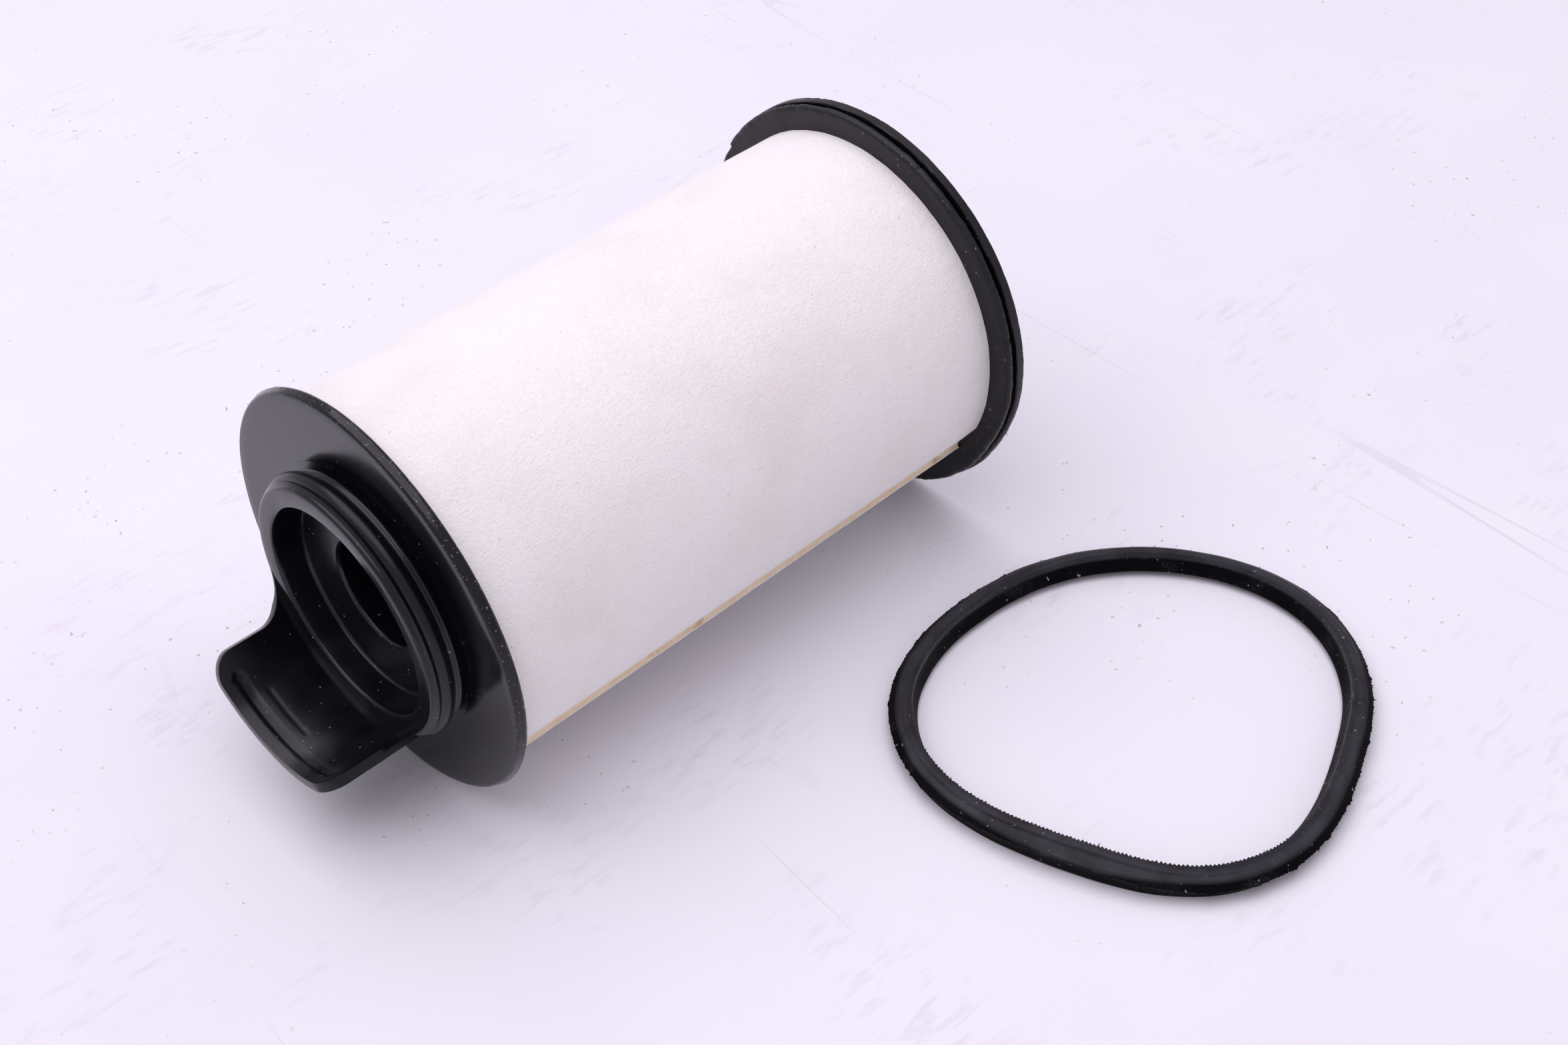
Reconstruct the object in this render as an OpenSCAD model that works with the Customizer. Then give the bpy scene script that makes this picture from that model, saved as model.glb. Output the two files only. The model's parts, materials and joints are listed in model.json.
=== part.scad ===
// Drop-in oil filter cartridge with a flanged neck, a felt-wrapped media pack,
// a double-lip rear seal, an inner bypass valve and a loose cover seal.
// The filter's axis is +X, from the neck to the rear cap. The origin is on the axis,
// where the floor of the neck socket lies in the front face of the front flange.

/* [Overall] */
// Diameter of the front flange
flange_d = 100; // [90:1:120]
// Outer diameter of the felt wrap
wrap_d = 93; // [84:1:93]
// Length of the felt wrap between the two caps
wrap_len = 149; // [110:1:220]

/* [Front cap] */
// Thickness of the front flange
flange_t = 2.1; // [1.7:0.1:3]
// Chamfer on the rim of the front flange
rim_chamfer = 0.8; // [0.2:0.1:1]

/* [Neck] */
// Inner diameter of the neck socket
socket_d = 52; // [46:0.5:54]
// Length of the neck in front of the flange face
neck_len = 8; // [7.5:0.5:14]
// Outer diameter of the neck at its mouth lip
neck_d = 62.6; // [61:0.2:64]
// Axial thickness of the mouth lip
lip_t = 1.8; // [1.2:0.1:2.6]
// Rounding of the mouth lip
lip_round = 0.8; // [0.4:0.1:0.9]
// Outer diameter of the collar that fills the hole in the front flange
collar_d = 67; // [66:0.5:72]
// Height of the collar above the flange face
collar_h = 0.3; // [0.1:0.1:0.6]
// Thickness of the neck's base plate behind the flange
base_t = 1.8; // [1.4:0.1:2.6]
// How far the base plate reaches beyond the collar
base_overlap = 2.5; // [1.5:0.5:5]
// Diameter of the outlet bore
outlet_d = 26; // [20:0.5:30]
// Chamfer at the mouth of the outlet bore
outlet_chamfer = 1; // [0.5:0.1:1.5]
// Length of the outlet spigot inside the core tube
spigot_len = 10; // [6:0.5:16]
// How far the seal groove's rear wall stays below the collar
boss_drop = 2; // [1:0.5:4]

/* [Neck seal] */
// Section diameter of the neck seal
neck_seal_t = 4; // [3.6:0.1:4.2]
// Outer diameter of the neck seal
neck_seal_d = 66; // [65:0.2:66.4]
// Axial play of the neck seal in its groove
groove_play = 0.2; // [0.1:0.05:0.5]

/* [Tongue] */
// Outer diameter of the curved tongue
tongue_d = 65; // [63.5:0.5:65.5]
// Thickness of the tongue
tongue_t = 2.4; // [1.8:0.1:3]
// How far the tongue reaches in front of the flange face
tongue_reach = 30.4; // [22:0.2:40]
// Clock angle of the tongue's middle, seen from the front with 90 at the top
tongue_angle = 260.6; // [240:0.2:290]
// Angle that the tongue spans
tongue_span = 92; // [60:1:100]
// Corner radius at the tongue's free end
tongue_corner = 5.6; // [3:0.2:8]
// Radius of the fillet between the tongue's left edge and the lip
tongue_fillet = 8; // [4:0.5:10]
// Wall left between the tongue's root and the seal groove
tongue_root_gap = 0.4; // [0.2:0.1:0.8]
// Reach of the shallow pocket at the root of the tongue's right edge
pocket_len = 7; // [4:0.5:12]
// Width of the shallow pocket
pocket_w = 3.4; // [2:0.2:6]
// Distance of the shallow pocket from the mouth lip
pocket_gap = 0.5; // [0.2:0.1:1]
// Depth of the shallow pocket
pocket_t = 0.4; // [0.2:0.1:0.8]

/* [Media pack] */
// Thickness of the felt wrap
wrap_t = 1.6; // [1:0.1:2.5]
// Thickness of the perforated outer support
support_t = 0.8; // [0.6:0.1:1.2]
// Number of pleats
pleat_count = 40; // [24:1:44]
// Thickness of the pleated media
media_t = 0.7; // [0.5:0.05:0.8]
// Open gap inside the outer fold of a pleat
fold_gap_out = 2.6; // [1.5:0.1:3]
// Thickness of the scrim sleeve around the core tube
scrim_t = 0.5; // [0.3:0.1:1]
// Depth of the adhesive that holds each end of the pack
potting_t = 5; // [4:0.5:8]
// Hole diameter in the outer support
support_hole_d = 8; // [5:0.5:10]
// Hole columns around the outer support
support_columns = 12; // [8:1:16]
// Hole rows along the outer support
support_rows = 9; // [6:1:11]

/* [Core tube] */
// Outer diameter of the core tube
core_d = 38; // [36:0.5:42]
// Wall of the core tube
core_t = 1.6; // [1.2:0.1:2]
// Hole diameter in the core tube
core_hole_d = 6; // [4:0.5:7]
// Hole columns around the core tube
core_columns = 8; // [6:1:10]
// Hole rows along the core tube
core_rows = 9; // [6:1:12]

/* [Wrap seam] */
// Width of the glue seam along the felt
seam_w = 1.5; // [1:0.1:3]
// Height of the glue seam above the felt
seam_h = 0.35; // [0.2:0.05:0.8]
// Clock angle of the glue seam, seen from the front with 90 at the top
seam_angle = 325; // [0:1:359]
// Felt left bare at each end of the glue seam
seam_inset = 0.5; // [0.2:0.1:5]

/* [Rear cap] */
// How far the rear cap reaches beyond the felt, on the radius
rear_overlap = 1; // [0.5:0.1:2]
// Thickness of the rear cap's plate
rear_t = 2.4; // [1.8:0.1:3.5]
// Height of the rear cap's rim and hub above its plate
rear_rim_h = 2.4; // [1.5:0.1:4]
// Width of the rear cap's rim
rear_rim_w = 3; // [2:0.5:5]
// Radial width of the hub around the valve seat
hub_w = 4; // [2:0.5:6]
// Number of stiffening ribs
rib_count = 8; // [4:1:12]
// Height of a rib as a share of the rim's height
rib_share = 0.7; // [0.4:0.05:0.9]
// Thickness of a stiffening rib
rib_t = 1.8; // [1:0.1:2.5]

/* [Rear lip seal] */
// Diameter over the front lip
front_lip_d = 103.2; // [102:0.2:110]
// Diameter over the rear lip
rear_lip_d = 104.8; // [103:0.2:112]
// Thickness of a lip at its root
lip_root_t = 1.5; // [1:0.1:1.8]
// Length of the round land on each lip
lip_land = 0.8; // [0.5:0.1:0.9]
// Distance of the front lip's land from the felt's end
lip_setback = 0.9; // [0.8:0.1:1]
// Bevel in front of the front lip's land
lip_bevel = 0.4; // [0.2:0.1:0.6]
// Radial thickness of the ring that carries the lips
lip_ring_t = 1.5; // [1:0.1:2.5]

/* [Bypass valve] */
// Bore of the valve seat
seat_d = 17; // [12:0.5:18]
// Width of the valve seat's ring
seat_w = 3.5; // [2:0.5:5]
// How far the seat's rear face stays below the cap's hub
seat_recess = 0.5; // [0.2:0.1:1]
// Overlap of the valve disc over the seat bore, on the radius
disc_overlap = 2; // [1:0.1:2.5]
// Thickness of the valve disc
disc_t = 1.6; // [1.2:0.1:2.5]
// Thickness of the valve gasket
gasket_t = 1.5; // [1:0.1:2.5]
// How far the valve gasket reaches inside the seat's bore, on the radius
gasket_in = 1.5; // [0.5:0.1:3]
// Diameter of the valve stem
stem_d = 4; // [3:0.2:5]
// Radial running clearance of the stem in its guide
stem_play = 0.08; // [0.03:0.01:0.1]
// Travel of the valve disc from shut to fully open
valve_travel = 5; // [3:0.5:7]
// Room between the valve disc and the wall of its cage
disc_play = 1.6; // [0.8:0.1:2.5]
// Wall of the valve cage
cage_t = 1.2; // [1:0.1:1.6]
// Room between the cage's foot flange and the core tube
cage_room = 0.8; // [0.3:0.1:1.5]
// Number of windows in the valve cage
window_count = 6; // [3:1:8]
// Share of the cage's wall that the windows open
window_share = 0.55; // [0.3:0.05:0.65]
// Wall of the stem guide
guide_t = 2; // [1:0.5:3]
// Length of the stem guide in front of the cage's end wall
guide_len = 3; // [2:0.5:5]
// How far the stem stands out of its guide
stem_tail = 1.5; // [0.5:0.5:4]
// Wire diameter of the valve spring
wire_d = 1.2; // [0.8:0.1:1.4]
// Mean diameter of the valve spring
coil_d = 14; // [12:0.5:15]
// Number of coils in the valve spring
coil_turns = 6; // [4:1:7]
// Spring length left between its coils when the valve is fully open
spring_room = 3.6; // [1:0.2:6]

/* [Cover seal] */
// Mean radius of the loose cover seal
ring_r = 52.5; // [45:0.5:60]
// Width of the cover seal's section
ring_w = 5.6; // [4:0.2:7]
// Height of the cover seal's section
ring_h = 5.6; // [4:0.2:7]
// Angle by which the slack seal has rolled outwards on the floor
ring_roll = 24; // [0:1:40]
// Oval bend of the seal's outline
ring_oval = 2.4; // [0:0.2:4]
// Egg bend of the seal's outline
ring_egg = 2.2; // [0:0.2:4]
// Square bend of the seal's outline
ring_square = 1.2; // [0:0.2:2]
// Place of the seal along the filter's axis
ring_x = 132.6; // [120:0.2:160]
// Clear floor between the filter's widest radius and the seal's mean radius
ring_gap = 9.8; // [8:0.2:30]

/* [Hidden] */
$fn = 96;

// Play left between nested pieces, the overrun of a cutting body, and the overlap
// that joins two shapes of one moulding
seat_gap = 0.05;
cut = 1;
fuse = 0.2;

// Front cap and neck
flange_r = flange_d / 2;
socket_r = socket_d / 2;
neck_r = neck_d / 2;
collar_r = collar_d / 2;
base_r = collar_r + base_overlap;
base_x = flange_t + base_t;
outlet_r = outlet_d / 2;
seal_r = neck_seal_d / 2;
groove_r = seal_r - neck_seal_t;
groove_x0 = lip_t - neck_len;
groove_x1 = groove_x0 + neck_seal_t + groove_play;
neck_seal_x = (groove_x0 + groove_x1) / 2;
boss_r = collar_r - boss_drop;
tongue_r = tongue_d / 2;
tongue_x0 = -tongue_reach;
tongue_half = tongue_r * sin(tongue_span / 2);
tongue_root_x = groove_x0 - tongue_root_gap;
pocket_z = sqrt(pow(tongue_r - tongue_t, 2) - pow(tongue_half - pocket_w, 2)) + pocket_t;

// Media pack, from the felt inwards and from the core outwards
wrap_r = wrap_d / 2;
wrap_x0 = flange_t;
wrap_x1 = wrap_x0 + wrap_len;
support_r = wrap_r - wrap_t - seat_gap;
pack_r = support_r - support_t - seat_gap;
core_r = core_d / 2;
core_ri = core_r - core_t;
core_x0 = base_x;
spigot_r = core_ri - seat_gap;
spigot_x1 = core_x0 + spigot_len;
scrim_ri = core_r + seat_gap;
scrim_r = scrim_ri + scrim_t;
media_ri = scrim_r + seat_gap;
pack_x0 = wrap_x0 + potting_t;
pack_x1 = wrap_x1 - potting_t;

// The open gap inside a pleat's inner fold shares the core's circumference evenly
fold_gap_in = PI * (media_ri + media_t) / pleat_count - media_t;

// Rear cap, lip seal and valve
rear_r = wrap_r + rear_overlap;
rear_x0 = wrap_x1;
rear_x1 = rear_x0 + rear_t;
rear_x2 = rear_x1 + rear_rim_h;
ring_in_r = rear_r + seat_gap;
lip_ring_r = ring_in_r + lip_ring_t;
front_lip_r = front_lip_d / 2;
rear_lip_r = rear_lip_d / 2;
lip_x0 = rear_x0 + lip_setback;
seat_r = seat_d / 2;
seat_or = seat_r + seat_w;
hub_r = seat_or + hub_w;
disc_r = seat_r + disc_overlap;
gasket_ri = seat_r - gasket_in;
gasket_x1 = rear_x0 - seat_gap;
disc_x1 = gasket_x1 - gasket_t;
disc_x0 = disc_x1 - disc_t;
stem_r = stem_d / 2;
cage_flange_r = core_ri - cage_room;
cage_ri = disc_r + disc_play;
cage_r = cage_ri + cage_t;
spring_x1 = disc_x0 - seat_gap;
spring_x0 = spring_x1 - coil_turns * wire_d - valve_travel - spring_room;
cage_x1 = spring_x0 - seat_gap;
cage_x0 = cage_x1 - cage_t;
guide_r = stem_r + guide_t;
guide_x0 = cage_x0 - guide_len;
stem_x0 = guide_x0 - stem_tail;
window_w = 2 * PI * cage_r / window_count * window_share;
window_len = rear_x0 - cage_x1 - 3 * cage_t;

// The floor touches the front flange and the rear lip, so it slopes under the filter
lip_tip_x = rear_x2 - lip_land / 2;
floor_tilt = atan2(rear_lip_r - flange_r, lip_tip_x - flange_t / 2);
floor_z = -flange_r / cos(floor_tilt) - flange_t / 2 * tan(floor_tilt);
ring_y = -(rear_lip_r + ring_gap + ring_r);
ring_stations = 96;
oval_phase = -33;
egg_phase = 26;
square_phase = -100;

// Turns a profile drawn as [radius, x] about the filter's axis
module around_x(turn = 360) {
    rotate([0, 90, 0]) rotate_extrude(angle = turn) children();
}

// Turns a body that points along +Z to a clock angle seen from the front
module at_clock(angle) {
    rotate([90 - angle, 0, 0]) children();
}

// A round tube along the axis
module tube(r_out, r_in, x0, x1) {
    around_x() polygon([[r_in, x0], [r_out, x0], [r_out, x1], [r_in, x1]]);
}

// Staggered rows of radial holes through a tube wall between two places along it
module hole_field(d, columns, rows, x0, x1, r_out, wall) {
    pitch = (x1 - x0) / rows;
    for (row = [0 : rows - 1], column = [0 : columns - 1])
        rotate([(column + (row % 2) / 2) * 360 / columns, 0, 0])
            translate([x0 + (row + 0.5) * pitch, 0, r_out - wall - cut])
                cylinder(d = d, h = wall + 2 * cut, $fn = 32);
}

module front_cap() {
    color("#17171b") around_x() polygon([
        [collar_r + seat_gap, 0],
        [flange_r - rim_chamfer, 0],
        [flange_r, rim_chamfer / 2],
        [flange_r, flange_t],
        [collar_r + seat_gap, flange_t]
    ]);
}

// Cup with its lip, seal groove, collar, base plate and outlet spigot
module neck_cup() {
    around_x() polygon([
        [outlet_r, outlet_chamfer], [outlet_r + outlet_chamfer, 0], [socket_r, 0],
        [socket_r, -neck_len + lip_round], [socket_r + lip_round, -neck_len],
        [neck_r - lip_round, -neck_len], [neck_r, -neck_len + lip_round],
        [neck_r, groove_x0], [groove_r, groove_x0], [groove_r, groove_x1],
        [boss_r, groove_x1], [boss_r, -collar_h], [collar_r, -collar_h],
        [collar_r, flange_t], [base_r, flange_t], [base_r, base_x],
        [spigot_r, base_x], [spigot_r, spigot_x1], [outlet_r, spigot_x1]
    ]);
}

// The tongue's outline, seen along its middle: round free corners and one root fillet
module tongue_outline() {
    translate([tongue_x0 + tongue_corner, -tongue_half])
        square([tongue_root_x - tongue_x0 - tongue_corner, 2 * tongue_half]);
    translate([tongue_x0, tongue_corner - tongue_half])
        square([tongue_corner + cut, 2 * (tongue_half - tongue_corner)]);
    for (side = [-1, 1])
        translate([tongue_x0 + tongue_corner, side * (tongue_half - tongue_corner)])
            circle(tongue_corner);
    difference() {
        translate([-neck_len - tongue_fillet, -tongue_half - tongue_fillet])
            square([tongue_fillet + neck_len + tongue_root_x, tongue_fillet + cut]);
        translate([-neck_len - tongue_fillet, -tongue_half - tongue_fillet])
            circle(tongue_fillet);
    }
}

// Curved tongue with a shallow pocket on its inner face beside the right edge
module tongue() {
    at_clock(tongue_angle) difference() {
        intersection() {
            tube(tongue_r, tongue_r - tongue_t, tongue_x0 - cut, tongue_root_x);
            linear_extrude(tongue_r + cut) tongue_outline();
        }
        translate([-neck_len - pocket_len, tongue_half - pocket_w, 0])
            cube([pocket_len - pocket_gap, pocket_w + cut, pocket_z]);
    }
}

module neck_socket() {
    color("#1b1b20") {
        neck_cup();
        tongue();
    }
}

module neck_seal() {
    color("#222226") around_x() translate([seal_r - neck_seal_t / 2, neck_seal_x])
        circle(d = neck_seal_t, $fn = 48);
}

module felt_wrap() {
    color("#ece9ea") tube(wrap_r, wrap_r - wrap_t, wrap_x0, wrap_x1);
}

module seam_bead() {
    color("#b59a5c") at_clock(seam_angle) intersection() {
        tube(wrap_r + seam_h, wrap_r + seat_gap, wrap_x0 + seam_inset,
            wrap_x1 - seam_inset);
        translate([0, -seam_w / 2, 0]) cube([wrap_x1, seam_w, flange_r + cut]);
    }
}

module outer_support() {
    color("#b9bcc0") difference() {
        tube(support_r, support_r - support_t, wrap_x0, wrap_x1);
        hole_field(support_hole_d, support_columns, support_rows, pack_x0, pack_x1,
            support_r, support_t);
    }
}

// One fold's four outline points: up one wall, over the fold and down the other
function fold(i, r_low, half_low, r_high, half_high) =
    let (mid = i * 360 / pleat_count, low = half_low / r_low * 180 / PI,
         high = half_high / r_high * 180 / PI)
    [for (p = [[r_low, -low], [r_high, -high], [r_high, high], [r_low, low]])
        p[0] * [cos(mid + p[1]), sin(mid + p[1])]];

function folds(r_low, half_low, r_high, half_high) =
    [for (i = [0 : pleat_count - 1], p = fold(i, r_low, half_low, r_high, half_high)) p];

module pleat_pack() {
    color("#f0e4c4") translate([pack_x0, 0, 0]) rotate([90, 0, 90])
        linear_extrude(pack_x1 - pack_x0) difference() {
            polygon(folds(media_ri + media_t, fold_gap_in / 2 + media_t,
                pack_r, fold_gap_out / 2 + media_t));
            polygon(folds(media_ri, fold_gap_in / 2,
                pack_r - media_t, fold_gap_out / 2));
        }
}

module core_scrim() {
    color("#e6e6e2") tube(scrim_r, scrim_ri, pack_x0, pack_x1);
}

module core_tube() {
    color("#d8d8d4") difference() {
        tube(core_r, core_ri, core_x0, rear_x0);
        hole_field(core_hole_d, core_columns, core_rows, spigot_x1, pack_x1,
            core_r, core_t);
    }
}

module front_potting() {
    color("#c8b98a") around_x() polygon([
        [scrim_ri, base_x], [base_r + seat_gap, base_x], [base_r + seat_gap, flange_t],
        [pack_r, flange_t], [pack_r, pack_x0], [scrim_ri, pack_x0]
    ]);
}

module rear_potting() {
    color("#c8b98a") tube(pack_r, scrim_ri, pack_x1, wrap_x1);
}

module rear_cap() {
    color("#141417") {
        around_x() polygon([
            [seat_or + seat_gap, rear_x0], [rear_r, rear_x0], [rear_r, rear_x2],
            [rear_r - rear_rim_w, rear_x2], [rear_r - rear_rim_w, rear_x1],
            [hub_r, rear_x1], [hub_r, rear_x2], [seat_or + seat_gap, rear_x2]
        ]);
        for (i = [0 : rib_count - 1]) rotate([i * 360 / rib_count, 0, 0])
            translate([rear_x1 - fuse, -rib_t / 2, hub_r - fuse])
                cube([rear_rim_h * rib_share + fuse, rib_t,
                    rear_r - rear_rim_w - hub_r + 2 * fuse]);
    }
}

// Rubber ring with two flared lips and a groove between them
module rear_lip_seal() {
    color("#1a1a1e") around_x() polygon([
        [ring_in_r, rear_x0], [front_lip_r - lip_bevel, lip_x0 - lip_bevel],
        [front_lip_r, lip_x0], [front_lip_r, lip_x0 + lip_land],
        [lip_ring_r, rear_x0 + lip_bevel + lip_root_t],
        [lip_ring_r, rear_x2 - lip_root_t],
        [rear_lip_r, rear_x2 - lip_land], [rear_lip_r, rear_x2],
        [ring_in_r, rear_x2]
    ]);
}

module valve_seat() {
    color("#9ea2a8") tube(seat_or, seat_r, rear_x0, rear_x2 - seat_recess);
}

// Cage with an end wall that guides the stem, side windows and a foot flange
module valve_cage() {
    color("#3c3f44") difference() {
        around_x() polygon([
            [stem_r + stem_play, guide_x0], [guide_r, guide_x0], [guide_r, cage_x0],
            [cage_r, cage_x0], [cage_r, rear_x0 - cage_t],
            [cage_flange_r, rear_x0 - cage_t], [cage_flange_r, rear_x0],
            [cage_ri, rear_x0], [cage_ri, cage_x1], [stem_r + stem_play, cage_x1]
        ]);
        for (i = [0 : window_count - 1]) rotate([i * 360 / window_count, 0, 0])
            translate([cage_x1 + cage_t, -window_w / 2, cage_ri - 2 * cut])
                cube([window_len, window_w, cage_t + 4 * cut]);
    }
}

module valve_disc() {
    color("#8d9096") around_x() polygon([
        [0, stem_x0], [stem_r, stem_x0], [stem_r, disc_x0], [disc_r, disc_x0],
        [disc_r, disc_x1], [0, disc_x1]
    ]);
}

module valve_gasket() {
    color("#202024") tube(disc_r, gasket_ri, disc_x1, gasket_x1);
}

// A point on the spring's wire, and the ring of points around it
spring_rings = coil_turns * 16;
spring_sides = 8;
function coil_point(s) =
    [spring_x0 + wire_d / 2 + s * (spring_x1 - spring_x0 - wire_d),
     coil_d / 2 * cos(s * 360 * coil_turns), coil_d / 2 * sin(s * 360 * coil_turns)];
function wire_ring(s) =
    let (c = coil_point(s), t = s * 360 * coil_turns)
    [for (k = [0 : spring_sides - 1]) let (a = k * 360 / spring_sides)
        c + wire_d / 2 * [sin(a), cos(a) * cos(t), cos(a) * sin(t)]];

// Faces of a tube of rings, open as a loop or capped at both ends
function tube_faces(rings, sides, closed) =
    [for (i = [0 : rings - (closed ? 1 : 2)], k = [0 : sides - 1])
        let (j = (i + 1) % rings, m = (k + 1) % sides)
        [i * sides + k, i * sides + m, j * sides + m, j * sides + k]];
function end_faces(rings, sides) =
    [[for (k = [sides - 1 : -1 : 0]) k],
     [for (k = [0 : sides - 1]) (rings - 1) * sides + k]];

module valve_spring() {
    color("#a4a7ad") polyhedron(
        [for (i = [0 : spring_rings], p = wire_ring(i / spring_rings)) p],
        concat(tube_faces(spring_rings + 1, spring_sides, false),
               end_faces(spring_rings + 1, spring_sides)), convexity = 10);
}

// The slack ring's outline: a circle with an oval, an egg and a square bend
function ring_radius(a) =
    ring_r + ring_oval * cos(2 * a - oval_phase) + ring_egg * cos(3 * a - egg_phase)
        + ring_square * cos(4 * a - square_phase);

// The seal's section as shares of its width and height around its middle: a square
// with bevelled lower edges and a low ridge along its top
ring_section = [
    [-0.44, -0.5], [0.44, -0.5], [0.5, -0.44], [0.5, 0.34], [0.44, 0.4],
    [0.05, 0.5], [-0.12, 0.47], [-0.28, 0.38], [-0.44, 0.4], [-0.5, 0.34],
    [-0.5, -0.44]
];
// A point of the section in millimetres, and the same point after the seal's roll
function section_point(s) = [s[0] * ring_w, s[1] * ring_h];
function rolled(p) = [
    p[0] * cos(ring_roll) + p[1] * sin(ring_roll),
    p[1] * cos(ring_roll) - p[0] * sin(ring_roll)
];
seal_profile = [for (s = ring_section) rolled(section_point(s))];
seal_low = min([for (p = seal_profile) p[1]]);

module cover_seal() {
    color("#26262a") rotate([0, floor_tilt, 0]) translate([ring_x, ring_y, floor_z])
        polyhedron(
            [for (i = [0 : ring_stations - 1], p = seal_profile)
                let (a = i * 360 / ring_stations, r = ring_radius(a) + p[0])
                [r * cos(a), r * sin(a), p[1] - seal_low]],
            tube_faces(ring_stations, len(seal_profile), true), convexity = 6);
}

front_cap();
neck_socket();
neck_seal();
felt_wrap();
seam_bead();
outer_support();
pleat_pack();
core_scrim();
core_tube();
front_potting();
rear_potting();
rear_cap();
rear_lip_seal();
valve_seat();
valve_cage();
valve_disc();
valve_gasket();
valve_spring();
cover_seal();
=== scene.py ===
"""Drop-in oil filter cartridge with its loose cover seal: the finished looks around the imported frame.

The filter's axis is +X, from the neck to the rear cap, and +Z is up. A place round the axis is given
by its clock angle, seen from the neck: 0 is the side of the loose seal (-Y), 90 the top. Sizes are in
millimetres until a mesh is made, and the frame's own metres after that.
"""

import json
import logging
import math
import random
from dataclasses import dataclass, field
from enum import Enum
from typing import Any, Callable, Mapping, Protocol, Sequence

import bmesh
import bpy
import numpy as np
from mathutils import Matrix, Quaternion, Vector, noise


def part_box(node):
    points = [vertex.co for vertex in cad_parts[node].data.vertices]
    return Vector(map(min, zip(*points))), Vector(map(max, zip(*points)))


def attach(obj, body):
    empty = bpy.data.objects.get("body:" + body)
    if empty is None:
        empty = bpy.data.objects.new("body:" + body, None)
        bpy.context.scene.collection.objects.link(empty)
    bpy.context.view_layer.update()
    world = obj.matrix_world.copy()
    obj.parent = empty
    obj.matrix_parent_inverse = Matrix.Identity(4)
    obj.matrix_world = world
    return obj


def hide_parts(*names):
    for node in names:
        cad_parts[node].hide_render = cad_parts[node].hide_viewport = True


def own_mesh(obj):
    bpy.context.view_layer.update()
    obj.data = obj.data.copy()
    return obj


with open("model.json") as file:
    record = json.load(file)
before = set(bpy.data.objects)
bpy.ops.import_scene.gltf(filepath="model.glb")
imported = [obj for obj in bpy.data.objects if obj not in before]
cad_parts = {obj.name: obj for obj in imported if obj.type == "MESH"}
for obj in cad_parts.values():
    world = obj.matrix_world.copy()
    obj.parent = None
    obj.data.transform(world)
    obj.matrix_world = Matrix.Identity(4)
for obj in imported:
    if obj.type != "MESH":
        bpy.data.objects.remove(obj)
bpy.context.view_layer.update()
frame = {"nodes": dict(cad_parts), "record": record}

MM = 0.001
# Points closer than this, in millimetres, are one point
WELD = 0.002
LOG = logging.getLogger("oil_filter")

# Sockets of the colour form of Blender's Mix node, which share their names
MIX_FACTOR, MIX_A, MIX_B, MIX_OUT = 0, 6, 7, 2
# Blender's noise keeps to about this share of its range, so covers are stretched over it
NOISE_SPREAD = 0.4

Point2 = tuple[float, float]
Point3 = tuple[float, float, float]
Warp = Callable[[float, float, float], Point2]
Socket = bpy.types.NodeSocket
Piece = bpy.types.Object


class Body(str, Enum):
    """The bodies that a piece can ride on."""

    ELEMENT = "element"
    RING = "cover_ring"


# ---- sizes taken from the frame


def node_box(name: str) -> tuple[Vector, Vector]:
    """Lowest and highest corner of a CAD node.

    Args:
        name: the node's name.

    Returns:
        The two corners, in millimetres.
    """
    low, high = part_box(name)
    return Vector(low) / MM, Vector(high) / MM


def mount_radius(name: str) -> float:
    """Radius of one of the record's round mounts.

    Args:
        name: the mount's name.

    Returns:
        The radius in millimetres.
    """
    found = next(m for m in frame["record"]["mounts"] if m["name"] == name)
    return float(found["dims"]["r_mm"])


def at_clock(x: float, r: float, angle: float) -> Point3:
    """A point at a clock angle, in degrees, and a radius about the filter's axis."""
    turn = math.radians(angle)
    return (x, -r * math.cos(turn), r * math.sin(turn))


# ---- outlines and meshes


def smoothstep(low: float, high: float, value: float) -> float:
    """0 below low, 1 above high and a smooth rise between them."""
    t = min(1.0, max(0.0, (value - low) / (high - low)))
    return t * t * (3 - 2 * t)


def ripple(x: float, y: float, z: float = 0.0) -> float:
    """Smooth noise from about -1 to 1 at a place whose unit is one ripple."""
    return noise.noise(Vector((x, y, z)))


def around(angle: float, waves: float, layer: float) -> float:
    """Noise round a circle: more waves make its ripples shorter, another layer gives another set."""
    turn = math.radians(angle)
    return ripple(waves * math.cos(turn), waves * math.sin(turn), layer)


def apart(angle: float, middle: float) -> float:
    """How far an angle is past another one, from -180 to 180 degrees."""
    return (angle - middle + 180) % 360 - 180


def swell(distance: float, width: float) -> float:
    """A smooth bump: 1 at no distance, fading over a width."""
    return math.exp(-(distance / width) ** 2)


def rounded(corners: Sequence[tuple[float, float, float]], steps: int = 4) -> list[Point2]:
    """A closed outline with its corners rounded by arcs.

    Args:
        corners: each corner's two coordinates and its rounding radius.
        steps: arc steps on each rounded corner.

    Returns:
        The outline's points, in order.
    """
    points: list[Point2] = []
    count = len(corners)
    for i, (x, y, radius) in enumerate(corners):
        here = Vector((x, y))
        back = Vector(corners[i - 1][:2]) - here
        ahead = Vector(corners[(i + 1) % count][:2]) - here
        half = back.angle(ahead) / 2
        if radius <= 0 or half > math.radians(88):
            points.append((x, y))
            continue
        run = min(radius / math.tan(half), back.length * 0.49, ahead.length * 0.49)
        start, end = here + back.normalized() * run, here + ahead.normalized() * run
        middle = here + (back.normalized() + ahead.normalized()).normalized() * (run / math.cos(half))
        first, last = start - middle, end - middle
        points += [tuple(middle + first.slerp(last, k / steps)) for k in range(steps + 1)]
    return points


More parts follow.
